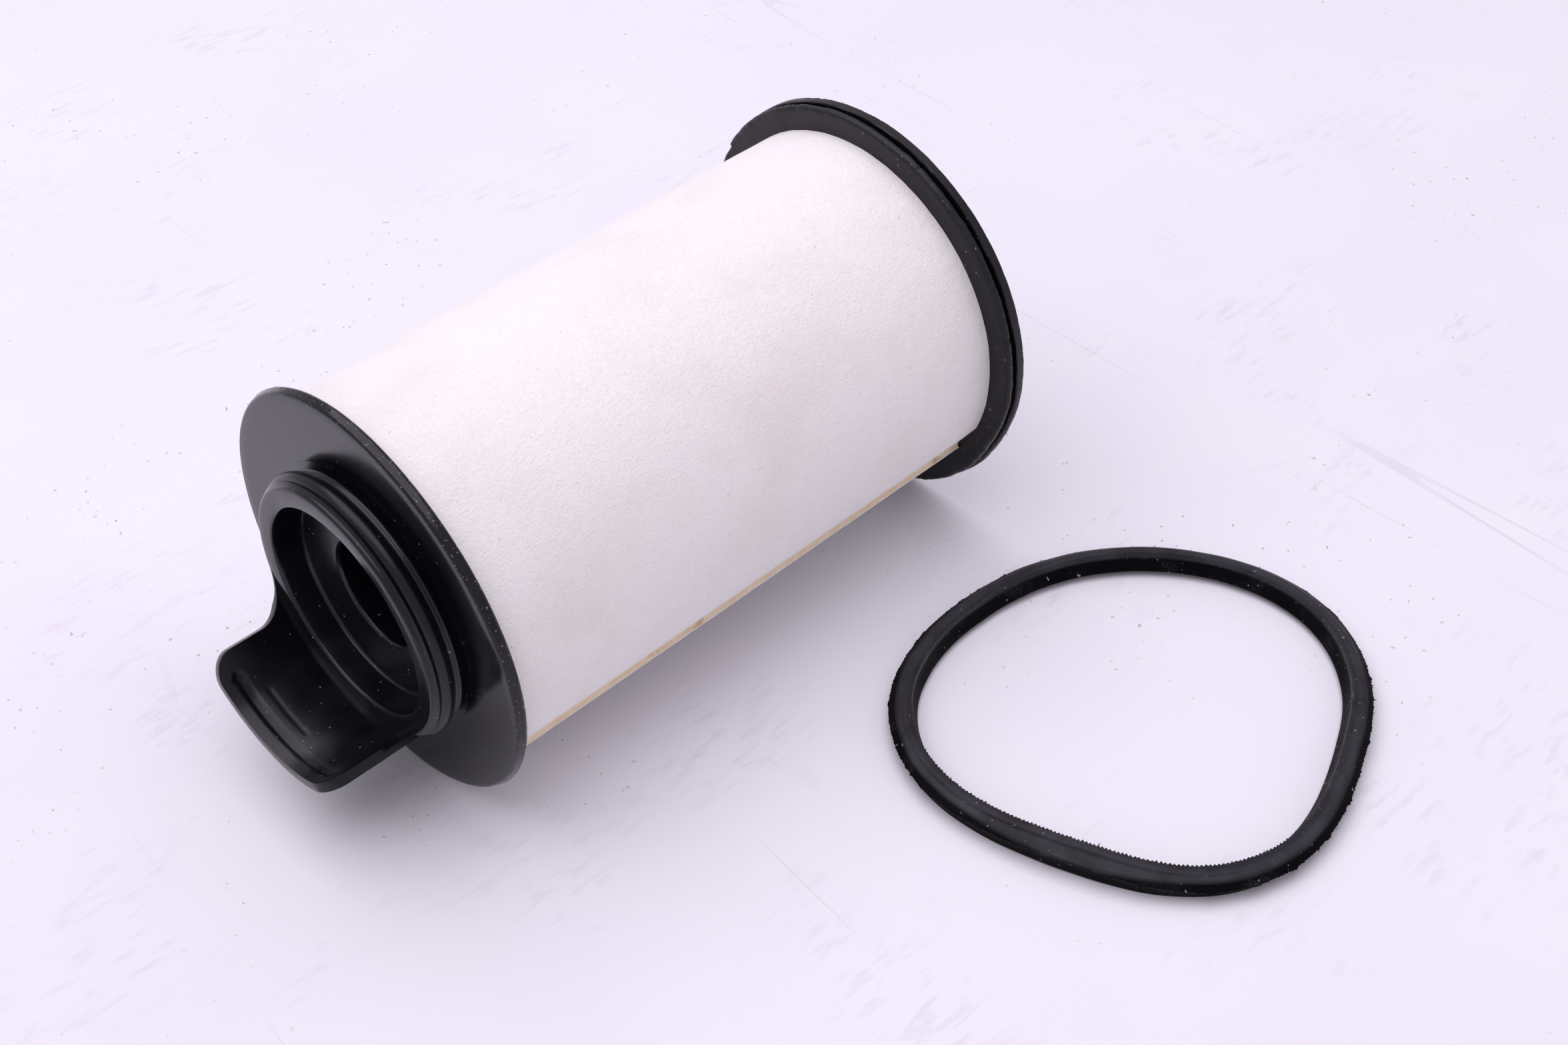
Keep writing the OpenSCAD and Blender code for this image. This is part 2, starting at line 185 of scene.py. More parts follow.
def refined(outline: Sequence[Point2], step: float) -> list[Point2]:
    """Cut an outline's long stretches into shorter ones.

    Args:
        outline: a closed outline.
        step: the longest stretch that may stay.

    Returns:
        The same outline with more points.
    """
    points: list[Point2] = []
    for (x0, y0), (x1, y1) in zip(outline, [*outline[1:], outline[0]]):
        parts = max(1, math.ceil(math.hypot(x1 - x0, y1 - y0) / step))
        points += [(x0 + (x1 - x0) * k / parts, y0 + (y1 - y0) * k / parts) for k in range(parts)]
    return points


@dataclass
class Shape:
    """Points and faces of a mesh in the making."""

    points: list[Point3] = field(default_factory=list)
    faces: list[tuple[int, ...]] = field(default_factory=list)

    def add_rings(self, rings: Sequence[Sequence[Point3]], looped: bool) -> None:
        """Skin a run of closed rings.

        Args:
            rings: rings with the same number of points.
            looped: True joins the last ring to the first, False caps both ends.
        """
        base, sides = len(self.points), len(rings[0])
        for ring in rings:
            self.points += ring
        spans = len(rings) if looped else len(rings) - 1
        for i in range(spans):
            a, b = base + i * sides, base + (i + 1) % len(rings) * sides
            for k in range(sides):
                m = (k + 1) % sides
                self.faces.append((a + k, a + m, b + m, b + k))
        if not looped:
            self.faces.append(tuple(base + k for k in reversed(range(sides))))
            last = base + (len(rings) - 1) * sides
            self.faces.append(tuple(last + k for k in range(sides)))

    def add_sliver(self, root: Vector, way: Vector, bend: Vector, length: float, thick: float) -> None:
        """Add a thin tapered hair of flash.

        Args:
            root: where it grows from.
            way: direction that it starts in.
            bend: direction that its tip curls towards.
            length: its length.
            thick: its thickness at the root.
        """
        way = way.normalized()
        side = way.orthogonal().normalized()
        rings = []
        for k in range(6):
            t = k / 5
            middle = root + way * (length * t) + bend * (length * t * t)
            radius = thick / 2 * (1 - 0.85 * t)
            rings.append([
                tuple(middle + Quaternion(way, math.tau * s / 5) @ side * radius) for s in range(5)
            ])
        self.add_rings(rings, looped=False)

    def build(self, name: str, crease: float = 32.0) -> Piece:
        """Make the Blender object.

        Args:
            name: the piece's name.
            crease: edges sharper than this angle, in degrees, stay sharp.

        Returns:
            The new object, in metres.
        """
        mesh = bpy.data.meshes.new(name)
        mesh.from_pydata([tuple(c * MM for c in p) for p in self.points], [], self.faces)
        piece = linked(name, mesh)
        tidy_mesh(piece, crease)
        return piece


def linked(name: str, data: bpy.types.ID) -> Piece:
    """Put new data into the scene as an object.

    Args:
        name: the object's name.
        data: its mesh, lamp or camera.

    Returns:
        The new object.
    """
    made = bpy.data.objects.new(name, data)
    bpy.context.scene.collection.objects.link(made)
    return made


def tidy_mesh(piece: Piece, crease: float) -> None:
    """Weld stray doubles, turn the faces outwards and shade the piece smooth.

    Args:
        piece: the object whose mesh is tidied.
        crease: edges sharper than this angle, in degrees, stay sharp.
    """
    work = bmesh.new()
    work.from_mesh(piece.data)
    bmesh.ops.remove_doubles(work, verts=work.verts, dist=WELD * MM)
    bmesh.ops.dissolve_degenerate(work, edges=work.edges, dist=WELD * MM)
    bmesh.ops.recalc_face_normals(work, faces=work.faces)
    work.to_mesh(piece.data)
    work.free()
    piece.data.shade_smooth()
    piece.data.set_sharp_from_angle(angle=math.radians(crease))


def lathe(outline: Sequence[Point2], angles: Sequence[float], warp: Warp | None = None) -> Shape:
    """Turn a closed outline about the filter's axis.

    Args:
        outline: the section's points, as places along the axis and radii.
        angles: the clock angles of the section's copies, in degrees.
        warp: gives a point's shift along the axis and outwards, from its place, radius and angle.

    Returns:
        A closed ring.
    """
    rings = []
    for angle in angles:
        ring = []
        for x, r in outline:
            dx, dr = warp(x, r, angle) if warp else (0.0, 0.0)
            ring.append(at_clock(x + dx, r + dr, angle))
        rings.append(ring)
    shape = Shape()
    shape.add_rings(rings, looped=True)
    return shape


def turns(count: int) -> list[float]:
    """Evenly spaced angles round a full turn."""
    return [360.0 * i / count for i in range(count)]


def apply_modifiers(piece: Piece) -> None:
    """Keep the modified mesh as the piece's own.

    Args:
        piece: the object with modifiers.
    """
    evaluated = piece.evaluated_get(bpy.context.evaluated_depsgraph_get())
    mesh = bpy.data.meshes.new_from_object(evaluated)
    piece.modifiers.clear()
    piece.data = mesh


def fuse(piece: Piece, extra: Piece, crease: float = 32.0) -> None:
    """Join a second closed shape to a piece as one moulding.

    Args:
        piece: the object that keeps both shapes.
        extra: the object that is joined and removed.
        crease: edges sharper than this angle, in degrees, stay sharp.
    """
    union = piece.modifiers.new("fuse", "BOOLEAN")
    union.operation, union.solver, union.object = "UNION", "EXACT", extra
    apply_modifiers(piece)
    bpy.data.objects.remove(extra)
    tidy_mesh(piece, crease)


def bevel(piece: Piece, width: float, segments: int = 3, limit: float = 50.0) -> None:
    """Round the piece's sharp edges.

    Args:
        piece: the object.
        width: bevel width in millimetres.
        segments: steps across the bevel.
        limit: edges sharper than this angle, in degrees, are rounded.
    """
    rounding = piece.modifiers.new("rounding", "BEVEL")
    rounding.width, rounding.segments = width * MM, segments
    rounding.limit_method, rounding.angle_limit = "ANGLE", math.radians(limit)
    apply_modifiers(piece)


# ---- materials


def srgb(code: str) -> tuple[float, float, float, float]:
    """Turn a colour's sRGB hex value into linear colour.

    Args:
        code: a hex value such as "#1a1b1e".

    Returns:
        Linear red, green, blue and an alpha of 1.
    """
    channels = [int(code[i:i + 2], 16) / 255 for i in (1, 3, 5)]
    linear = [c / 12.92 if c <= 0.04045 else ((c + 0.055) / 1.055) ** 2.4 for c in channels]
    return (linear[0], linear[1], linear[2], 1.0)


def per_mm(size: float) -> float:
    """A pattern's scale from the size of its features in millimetres."""
    return 1 / (size * MM)


def add_node(
    tree: bpy.types.NodeTree, kind: str, inputs: Mapping[Any, Any] | None = None, **settings: Any
) -> bpy.types.Node:
    """Add a node with its settings, values and links.

    Args:
        tree: the material's node tree.
        kind: the node's type.
        inputs: for each input, by name or number, its value or the output that feeds it.
        settings: the node's own properties.

    Returns:
        The new node.
    """
    node = tree.nodes.new(kind)
    for name, value in settings.items():
        setattr(node, name, value)
    for name, value in (inputs or {}).items():
        if isinstance(value, Socket):
            tree.links.new(value, node.inputs[name])
        else:
            node.inputs[name].default_value = value
    return node


@dataclass
class Surface:
    """A material in the making: its tree, the place on the piece and the main shader."""

    material: bpy.types.Material
    tree: bpy.types.NodeTree
    place: Socket
    shader: bpy.types.Node

    @classmethod
    def named(cls, name: str) -> "Surface":
        """Start an empty material with one main shader.

        Args:
            name: the material's name.

        Returns:
            The surface to dress.
        """
        material = bpy.data.materials.new(name)
        material.use_nodes = True
        tree = material.node_tree
        tree.nodes.clear()
        shader = add_node(tree, "ShaderNodeBsdfPrincipled")
        add_node(tree, "ShaderNodeOutputMaterial", {"Surface": shader.outputs[0]})
        place = add_node(tree, "ShaderNodeTexCoord").outputs["Object"]
        return cls(material, tree, place, shader)

    def set(self, **values: float | tuple[float, ...]) -> None:
        """Set values that are the same all over on the shader's own sockets."""
        for name, value in values.items():
            self.shader.inputs[name.replace("_", " ").title().replace("Ior", "IOR")].default_value = value

    def feed(self, name: str, source: Socket) -> None:
        """Let a pattern drive one of the shader's sockets."""
        self.tree.links.new(source, self.shader.inputs[name])

    def stretched(self, x: float, y: float, z: float) -> Socket:
        """The place on the piece, scaled apart along the three axes."""
        scaled = add_node(self.tree, "ShaderNodeMapping", {"Vector": self.place, "Scale": (x, y, z)})
        return scaled.outputs[0]

    def blotches(
        self, size: float, cover: float, soft: float = 0.15, detail: float = 3.0, seed: float = 0.0,
        place: Socket | None = None,
    ) -> Socket:
        """A mask of cloudy patches.

        Args:
            size: size of a patch in millimetres.
            cover: the share of the surface that they cover, from 0 to 1.
            soft: width of a patch's edge, as a share of the noise's range.
            detail: how broken the edge is.
            seed: picks another set of patches.
            place: the place on the piece, if it is stretched.

        Returns:
            An output from 0 to 1.
        """
        cloud = add_node(
            self.tree, "ShaderNodeTexNoise",
            {"Vector": place or self.place, "W": seed, "Scale": per_mm(size), "Detail": detail},
            noise_dimensions="4D",
        )
        middle = 0.5 + NOISE_SPREAD * (0.5 - cover)
        return self.ramp(cloud.outputs[0], middle - soft / 2, middle + soft / 2)

    def ramp(
        self, value: Socket, low: float, high: float, start: float = 0.0, end: float = 1.0
    ) -> Socket:
        """Carry one span of values over to another, held at its ends.

        Args:
            value: the output to carry over.
            low: where the first span begins.
            high: where it ends.
            start: what low becomes.
            end: what high becomes.

        Returns:
            The new output.
        """
        span = {"Value": value, "From Min": low, "From Max": high, "To Min": start, "To Max": end}
        return add_node(self.tree, "ShaderNodeMapRange", span).outputs[0]

    def both(self, a: Socket, b: Socket) -> Socket:
        """A mask where two masks overlap."""
        return add_node(self.tree, "ShaderNodeMath", {0: a, 1: b}, operation="MULTIPLY").outputs[0]

    def tinted(
        self, under: Socket | str, over: str, mask: Socket, share: float = 1.0
    ) -> Socket:
        """Lay a colour over another one where a mask says so.

        Args:
            under: the colour below, as an output or a hex value.
            over: the colour on top, as a hex value.
            mask: where the colour on top shows.
            share: how much of it shows at most.

        Returns:
            The mixed colour.
        """
        part = add_node(self.tree, "ShaderNodeMath", {0: mask, 1: share}, operation="MULTIPLY")
        below = srgb(under) if isinstance(under, str) else under
        mixed = add_node(
            self.tree, "ShaderNodeMix",
            {MIX_FACTOR: part.outputs[0], MIX_A: below, MIX_B: srgb(over)}, data_type="RGBA",
        )
        return mixed.outputs[MIX_OUT]

    def relief(self, *layers: tuple[Socket, float]) -> None:
        """Emboss the surface.

        Args:
            layers: pairs of a height pattern from 0 to 1 and its depth in millimetres.
        """
        normal = None
        for height, depth in layers:
            inputs = {"Height": height, "Distance": depth * MM, "Strength": 1.0}
            if normal is not None:
                inputs["Normal"] = normal
            normal = add_node(self.tree, "ShaderNodeBump", inputs).outputs[0]
        self.feed("Normal", normal)

    def gloss(self, pattern: Socket, low: float, high: float) -> None:
        """Let a pattern carry the roughness from one value to another."""
        self.feed("Roughness", self.ramp(pattern, 0.0, 1.0, low, high))


class Finish(Protocol):
    """Anything that can make a material."""

    def material(self) -> bpy.types.Material:
        """Build the material."""


@dataclass(frozen=True)
class MouldedRubber:
    """Black rubber or elastomer from a mould: a satin skin, cloudy bloom, dust and fine grain."""

    name: str
    base: str
    bloom: str
    dust: str
    rough: tuple[float, float]
    bloom_mm: float = 16.0
    bloom_cover: float = 0.45
    bloom_share: float = 0.8
    dust_cover: float = 0.12
    dust_share: float = 0.5
    lint_cover: float = -0.14
    grain_mm: float = 0.5
    grain_depth: float = 0.012
    pit_depth: float = 0.02
    specular: float = 0.5
    speck_mm: float = 0.55
    lint_mm: float = 0.9
    lint: str = "#b9b4bd"
    rim_r: float | None = None
    crumb: str = "#8e8994"
    # Height above the sloping floor where the upper face begins: paler and shinier there, partly talc and
    # partly painted light
    top_height: float | None = None
    floor_level: float = -50.05
    floor_slope: float = 0.0155
    # Colour of the upper face: talc, partly painted light
    top: str = "#38363d"
    rubbed_mm: float = 9.0

    def material(self) -> bpy.types.Material:
        """Build the material.

        Returns:
            Rubber with bloom, dust and grain; where it has them, a crumbly rim and an upper face paler with
            talc and painted light.
        """
        skin = Surface.named(self.name)
        skin.set(ior=1.52, specular_ior_level=self.specular)
        bloom = skin.blotches(self.bloom_mm, self.bloom_cover, soft=0.3, detail=4)
        colour = skin.tinted(self.base, self.bloom, bloom, self.bloom_share)
        # Dust sits in patches and breaks up into specks of about half a millimetre
        patches = skin.blotches(self.bloom_mm * 0.8, self.dust_cover * 2.2, soft=0.2, detail=5, seed=3)
        specks = skin.blotches(self.speck_mm, 0.35, soft=0.3, detail=3, seed=5)
        colour = skin.tinted(colour, self.dust, skin.both(patches, specks), self.dust_share)
        lint = skin.blotches(self.lint_mm, self.lint_cover, soft=0.03, detail=1, seed=8)
        colour = skin.tinted(colour, self.lint, lint, 0.5)
        # Upper face paler and shinier, walls darker and duller: partly talc, partly painted light and
        # painted shade
        if self.top_height is not None:
            colour = self.talc_and_painted_light(skin, colour, self.floor_level + self.top_height)
        if self.rim_r is not None:
            # The rim's rougher skin holds a sprinkle of pale crumbs
            across = skin.stretched(0, 1, 1)
            reach = add_node(skin.tree, "ShaderNodeVectorMath", {0: across}, operation="LENGTH")
            edge = skin.ramp(reach.outputs["Value"], (self.rim_r - 0.2) * MM, (self.rim_r + 0.2) * MM)
            crumbs = skin.blotches(self.speck_mm, 0.02, soft=0.05, detail=1, seed=12)
            colour = skin.tinted(colour, self.crumb, skin.both(edge, crumbs), 0.7)
        skin.feed("Base Color", colour)
        skin.gloss(skin.blotches(self.bloom_mm * 0.5, 0.5, soft=0.5, detail=4, seed=2), *self.rough)
        # The grain is drawn coarser than a real mould's spark texture, so that it shows
        grain = skin.blotches(self.grain_mm, 0.5, soft=0.6, detail=3, seed=6)
        dents = skin.blotches(self.grain_mm * 9, 0.5, soft=0.7, detail=3, seed=7)
        skin.relief((dents, self.pit_depth), (grain, self.grain_depth))
        return skin.material

    def talc_and_painted_light(self, skin: Surface, colour: Socket, height: float) -> Socket:
        """Lay talc and painted light on the upper face, as a paler colour and a stronger specular level,
        and leave the walls below without talc and with a weaker specular level, as painted shade.

        Args:
            skin: the surface in the making.
            colour: the colour so far.
            height: where the upper face begins, above the sloping floor.

        Returns:
            The colour with talc on it.
        """
        slope = {0: skin.place, 1: (self.floor_slope, 0.0, 1.0)}
        rise = add_node(skin.tree, "ShaderNodeVectorMath", slope, operation="DOT_PRODUCT")
        upper = skin.ramp(rise.outputs["Value"], (height - 0.3) * MM, (height + 0.3) * MM)
        rubbed = skin.blotches(self.rubbed_mm, 0.6, soft=0.5, detail=5, seed=14)
        # Specular level higher on the upper face and lower on the walls: painted highlight above, painted
        # shade below
        sheen = skin.ramp(upper, 0.0, 1.0, self.specular * 0.3, self.specular * 1.4)
        skin.feed("Specular IOR Level", sheen)
        return skin.tinted(colour, self.top, skin.both(upper, rubbed), 0.8)


@dataclass(frozen=True)
class NonWoven:
    """Sheet of laid fibres, pressed or needled: matte, with fibres, lint and faint stains."""

    name: str
    base: str
    shade: str
    stain: str
    fibre_mm: float = 0.32
    fibre_run: float = 4.0
    stain_mm: float = 24.0
    stain_cover: float = 0.3
    stain_share: float = 0.35
    depth: float = 0.16
    sheen: float = 0.3
    lint: str = "#8d8288"
    edge_x: float | None = None
    edge: str = "#b08a72"
    wick_mm: float = 1.1

    def material(self) -> bpy.types.Material:
        """Build the material.

        Returns:
            A fibrous sheet, with a line of adhesive along one edge where it has one.
        """
        cloth = Surface.named(self.name)
        cloth.set(sheen_weight=self.sheen, sheen_roughness=0.6, specular_ior_level=0.15)
        # Fibres mostly run along the roll, so their streaks are a few times longer than wide.
        # Real ones are 0.02 mm thick; the streaks stand for small bundles of them.
        along = cloth.stretched(1 / self.fibre_run, 1, 1)
        across = cloth.stretched(1, 1 / self.fibre_run, 1)
        bundles = cloth.blotches(self.fibre_mm, 0.5, soft=0.5, detail=4, seed=1, place=along)
        crossed = cloth.blotches(self.fibre_mm * 1.3, 0.35, soft=0.3, detail=3, seed=2, place=across)
        colour = cloth.tinted(self.base, self.shade, bundles, 0.55)
        colour = cloth.tinted(colour, self.shade, crossed, 0.5)
        stains = cloth.blotches(self.stain_mm, self.stain_cover, soft=0.2, detail=5, seed=4)
        colour = cloth.tinted(colour, self.stain, stains, self.stain_share)
        specks = cloth.blotches(0.8, -0.12, soft=0.02, detail=1, seed=9)
        colour = cloth.tinted(colour, self.lint, specks, 0.4)
        if self.edge_x is not None:
            # Adhesive wicks a little way into the felt where it meets the front flange
            split = add_node(cloth.tree, "ShaderNodeSeparateXYZ", {0: cloth.place})
            end = self.edge_x + self.wick_mm
            wick = cloth.ramp(split.outputs[0], self.edge_x * MM, end * MM, 1.0, 0.0)
            wavy = cloth.blotches(2.5, 0.6, soft=0.5, detail=3, seed=11)
            colour = cloth.tinted(colour, self.edge, cloth.both(wick, wavy), 0.9)
        cloth.feed("Base Color", colour)
        cloth.gloss(bundles, 0.85, 1.0)
        puffs = cloth.blotches(2.4, 0.5, soft=0.7, detail=3, seed=6)
        depth = self.depth
        cloth.relief((puffs, depth * 0.8), (crossed, depth * 0.4), (bundles, depth * 0.5))
        return cloth.material


@dataclass(frozen=True)
class CastPlastic:
    """Poured adhesive or moulded nylon: semi-matte, mottled, with flow marks."""

    name: str
    base: str
    mottle: str
    rough: tuple[float, float]
    mottle_mm: float = 3.0
    depth: float = 0.05
    spots: str | None = None
    spot_mm: float = 6.0

    def material(self) -> bpy.types.Material:
        """Build the material.

        Returns:
            A mottled cast or moulded skin, with darker spots where it has them.
        """
        cast = Surface.named(self.name)
        cast.set(ior=1.5)
        cloudy = cast.blotches(self.mottle_mm, 0.5, soft=0.4)
        colour = cast.tinted(self.base, self.mottle, cloudy, 0.8)
        fine = cast.blotches(self.mottle_mm * 0.2, 0.4, soft=0.3, seed=3)
        colour = cast.tinted(colour, self.mottle, fine, 0.5)
        if self.spots:
            spots = cast.blotches(self.spot_mm, 0.12, soft=0.12, seed=5)
            colour = cast.tinted(colour, self.spots, spots, 0.7)
        cast.feed("Base Color", colour)
        cast.gloss(cast.blotches(self.mottle_mm * 0.6, 0.5, soft=0.5, seed=2), *self.rough)
        flow = cast.blotches(self.mottle_mm * 0.5, 0.5, soft=0.6, seed=6)
        cast.relief((flow, self.depth))
        return cast.material


@dataclass(frozen=True)
class WorkedSteel:
    """Plated, turned or drawn steel: metallic, with directional marks and dull patches."""

    name: str
    base: str
    dull: str
    rough: tuple[float, float]
    mark_mm: float = 0.4
    mark_run: float = 20.0
    depth: float = 0.008
    patch_mm: float = 7.0

    def material(self) -> bpy.types.Material:
        """Build the material.

        Returns:
            Metal with streaks across the axis and dull patches.
        """
        steel = Surface.named(self.name)
        steel.set(metallic=1.0)
        patches = steel.blotches(self.patch_mm, 0.4, soft=0.3, detail=4)
        along = steel.stretched(1, 1 / self.mark_run, 1 / self.mark_run)
        streaks = steel.blotches(self.mark_mm, 0.5, soft=0.5, seed=2, place=along)
        colour = steel.tinted(self.base, self.dull, patches, 0.7)
        steel.feed("Base Color", steel.tinted(colour, self.dull, streaks, 0.4))
        steel.gloss(streaks, *self.rough)
        steel.relief((streaks, self.depth))
        return steel.material


@dataclass(frozen=True)
class CoatedBoard:
    """White coated tabletop board: matte, with faint scuffs, scratches and specks."""

    name: str = "white laminate, coated"
    base: str = "#e9e8ec"
    scuff: str = "#cdc4cd"
    cloud: str = "#e4e1e8"
    scratch: str = "#b5acb6"
    speck: str = "#8f8087"
    scratch_level: float = 0.52
    scratch_width: float = 0.0012

    def material(self) -> bpy.types.Material:
        """Build the material.

        Returns:
            A pale matte board with worn places.
        """
        board = Surface.named(self.name)
        board.set(specular_ior_level=0.12)
        clouds = board.blotches(90, 0.4, soft=0.4, detail=3)
        colour = board.tinted(self.base, self.cloud, clouds, 0.6)
        worn = board.blotches(45, 0.28, soft=0.12, detail=4, seed=2)
        drawn = board.stretched(0.25, 1, 1)
        scuffs = board.blotches(2.2, 0.25, soft=0.15, detail=4, seed=3, place=drawn)
        colour = board.tinted(colour, self.scuff, board.both(worn, scuffs), 0.3)
        # Long faint scratches: thin bands of a stretched noise
        line = add_node(
            board.tree, "ShaderNodeTexNoise",
            {"Vector": board.stretched(1, 0.06, 1), "Scale": per_mm(60), "Detail": 1.0},
        )
        level = {0: line.outputs[0], 1: self.scratch_level, 2: self.scratch_width}
        band = add_node(board.tree, "ShaderNodeMath", level, operation="COMPARE")
        kept = board.blotches(70, 0.3, soft=0.1, detail=2, seed=6)
        colour = board.tinted(colour, self.scratch, board.both(band.outputs[0], kept), 0.22)
        specks = board.both(board.blotches(1.7, -0.1, soft=0.02, detail=1, seed=7),
                            board.blotches(60, 0.4, soft=0.1, seed=8))
        colour = board.tinted(colour, self.speck, specks, 0.6)
        board.feed("Base Color", colour)
        board.gloss(clouds, 0.6, 0.75)
        return board.material


# Compression-moulded rubber: satin, so it takes a soft grey reflection at a low angle
CAP_RUBBER = MouldedRubber(
    "nitrile rubber, compression moulded", "#08070d", "#0d0c14", "#45424a", (0.13, 0.19),
    bloom_mm=22, dust_cover=0.02, dust_share=0.12, grain_depth=0.002, pit_depth=0.004, specular=0.36,
    rim_r=48.9,
)
# Injection-moulded polyamide: a little rougher than the flange, with clear highlights on its edges
NECK_POLYMER = MouldedRubber(
    "black polyamide, injection moulded", "#08070d", "#0d0c14", "#3c3a42", (0.17, 0.25),
    bloom_mm=12, dust_cover=0.01, dust_share=0.12, grain_depth=0.003, pit_depth=0.008, specular=0.36,
)
# A softer seal with the same sheen
SEAL_RUBBER = MouldedRubber(
    "nitrile seal cord, moulded", "#0a0a0d", "#101014", "#45424a", (0.22, 0.3),
    bloom_mm=9, dust_cover=0.01, dust_share=0.12, grain_depth=0.004, pit_depth=0.008, specular=0.3,
)
# Trimmed lips: duller, with a pale film of mould release
LIP_RUBBER = MouldedRubber(
    "nitrile lip seal, moulded and trimmed", "#0e0d11", "#16151a", "#4b4851", (0.36, 0.48),
    bloom_mm=14, bloom_cover=0.4, dust_cover=0.03, dust_share=0.2, grain_depth=0.008, pit_depth=0.012,
    specular=0.32,
)
# Moulded ring fresh from its bag: matte black under smears of pale talc, with its upper face painted paler
# and shinier than its walls, partly talc and partly painted light
RING_RUBBER = MouldedRubber(
    "nitrile ring, talc dusted", "#040405", "#09090b", "#6a6670", (0.42, 0.55),
    bloom_mm=11, bloom_cover=0.35, bloom_share=0.9, dust_cover=0.08, dust_share=0.3, lint_cover=-0.08,
    grain_mm=0.6, grain_depth=0.02, pit_depth=0.03, specular=0.16, top_height=5.2,
)
# Needled polyester felt: chalky white with faint tan stains
FELT = NonWoven(
    "polyester felt, needled", "#f7f4f1", "#ebe6e3", "#e3d5cc", edge_x=2.1, stain_share=0.3,
)
# Resin-bonded filter paper of the pleats: cream, rougher than writing paper
MEDIA = NonWoven(
    "filter media, resin bonded", "#e9dcb8", "#d6c499", "#c9b27e", fibre_mm=0.4, depth=0.06, sheen=0.1,
)
# Spun-bonded scrim: off-white and faintly stringy
SCRIM = NonWoven(
    "polyester scrim, spun bonded", "#e5e4de", "#cfcdc6", "#d9d3c4", fibre_mm=0.3, depth=0.08,
)
# Hot-melt adhesive squeezed out of the overlap: tan, waxy
SEAM_GLUE = CastPlastic(
    "hot-melt adhesive, hand laid", "#f3e3c8", "#e2c79c", (0.5, 0.7), mottle_mm=5, depth=0.12,
    spots="#a98355",
)
# Poured end adhesive: honey-coloured, satin
POTTING = CastPlastic("polyurethane, poured", "#c9b98c", "#b59f6c", (0.35, 0.5), mottle_mm=9)
# Core tube: natural nylon, slightly translucent white
CORE_NYLON = CastPlastic(
    "natural nylon, injection moulded", "#dcdad2", "#cbc8be", (0.4, 0.52), mottle_mm=8, depth=0.02,
)
# Valve cage: grey glass-filled nylon, dull
VALVE_NYLON = CastPlastic(
    "glass-filled nylon, injection moulded", "#44474c", "#373a3f", (0.5, 0.65), mottle_mm=2, depth=0.03,
)
# Perforated support: zinc plate with a soft spangle
ZINC_STEEL = WorkedSteel("zinc-plated steel, punched", "#b7babf", "#8f9298", (0.3, 0.45))
# Seat and disc: turned steel with fine rings
VALVE_STEEL = WorkedSteel("mild steel, turned", "#a2a5aa", "#7c7f85", (0.22, 0.36), mark_mm=0.25)
# Spring: drawn wire, bright with dull stretches
SPRING_STEEL = WorkedSteel("spring steel wire, drawn", "#b2b4b8", "#84868c", (0.2, 0.34), mark_mm=0.3)


def place_piece(
    piece: Piece, finish: Finish, body: Body, slot: str, *replaced: str
) -> None:
    """Dress a finished piece, parent it to its body's empty and hide any CAD nodes that it stands for.

    Args:
        piece: the object.
        finish: the finish that makes its material.
        body: the body that it rides on.
        slot: the record's material slot; not used.
        replaced: the CAD nodes that it stands for.
    """
    piece.data.materials.clear()
    piece.data.materials.append(finish.material())
    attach(piece, body.value)
    if replaced:
        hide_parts(*replaced)
    LOG.info("%s: %d faces on %s", piece.name, len(piece.data.polygons), body.value)


# ---- front cap and neck


@dataclass
class FrontCap:
    """The round front flange with its rounded, slightly grainy rim."""

    low: Vector
    high: Vector
    hole_r: float = 33.48
    rim_round: float = 0.85

    def rim(self, x: float, radius: float, angle: float) -> Point2:
        """How far the flange strays from a true disc.

        Args:
            x: place along the axis.
            radius: place outwards.
            angle: clock angle in degrees.

        Returns:
            The shift along the axis and outwards.
        """
        r = self.high.z
        edge = smoothstep(r - 1.2, r - 0.2, radius)
        fine = around(angle, 70, x * 2) * 0.05
        slow = around(angle, 5, 3) * 0.08
        sag = around(angle, 1.6, 9) * 0.12 * smoothstep(36, r, radius)
        return sag, (fine + slow - 0.08) * edge

    def build(self) -> None:
        """Turn the flange and roughen its rim."""
        r = self.high.z
        outline = rounded([
            (self.low.x, self.hole_r, 0.0),
            (self.low.x, r, self.rim_round),
            (self.high.x, r, 0.5),
            (self.high.x, self.hole_r, 0.1),
        ], steps=6)
        piece = lathe(refined(outline, 2.5), turns(360), self.rim).build("front_flange")
        place_piece(piece, CAP_RUBBER, Body.ELEMENT, "cap_rubber", "front_cap")


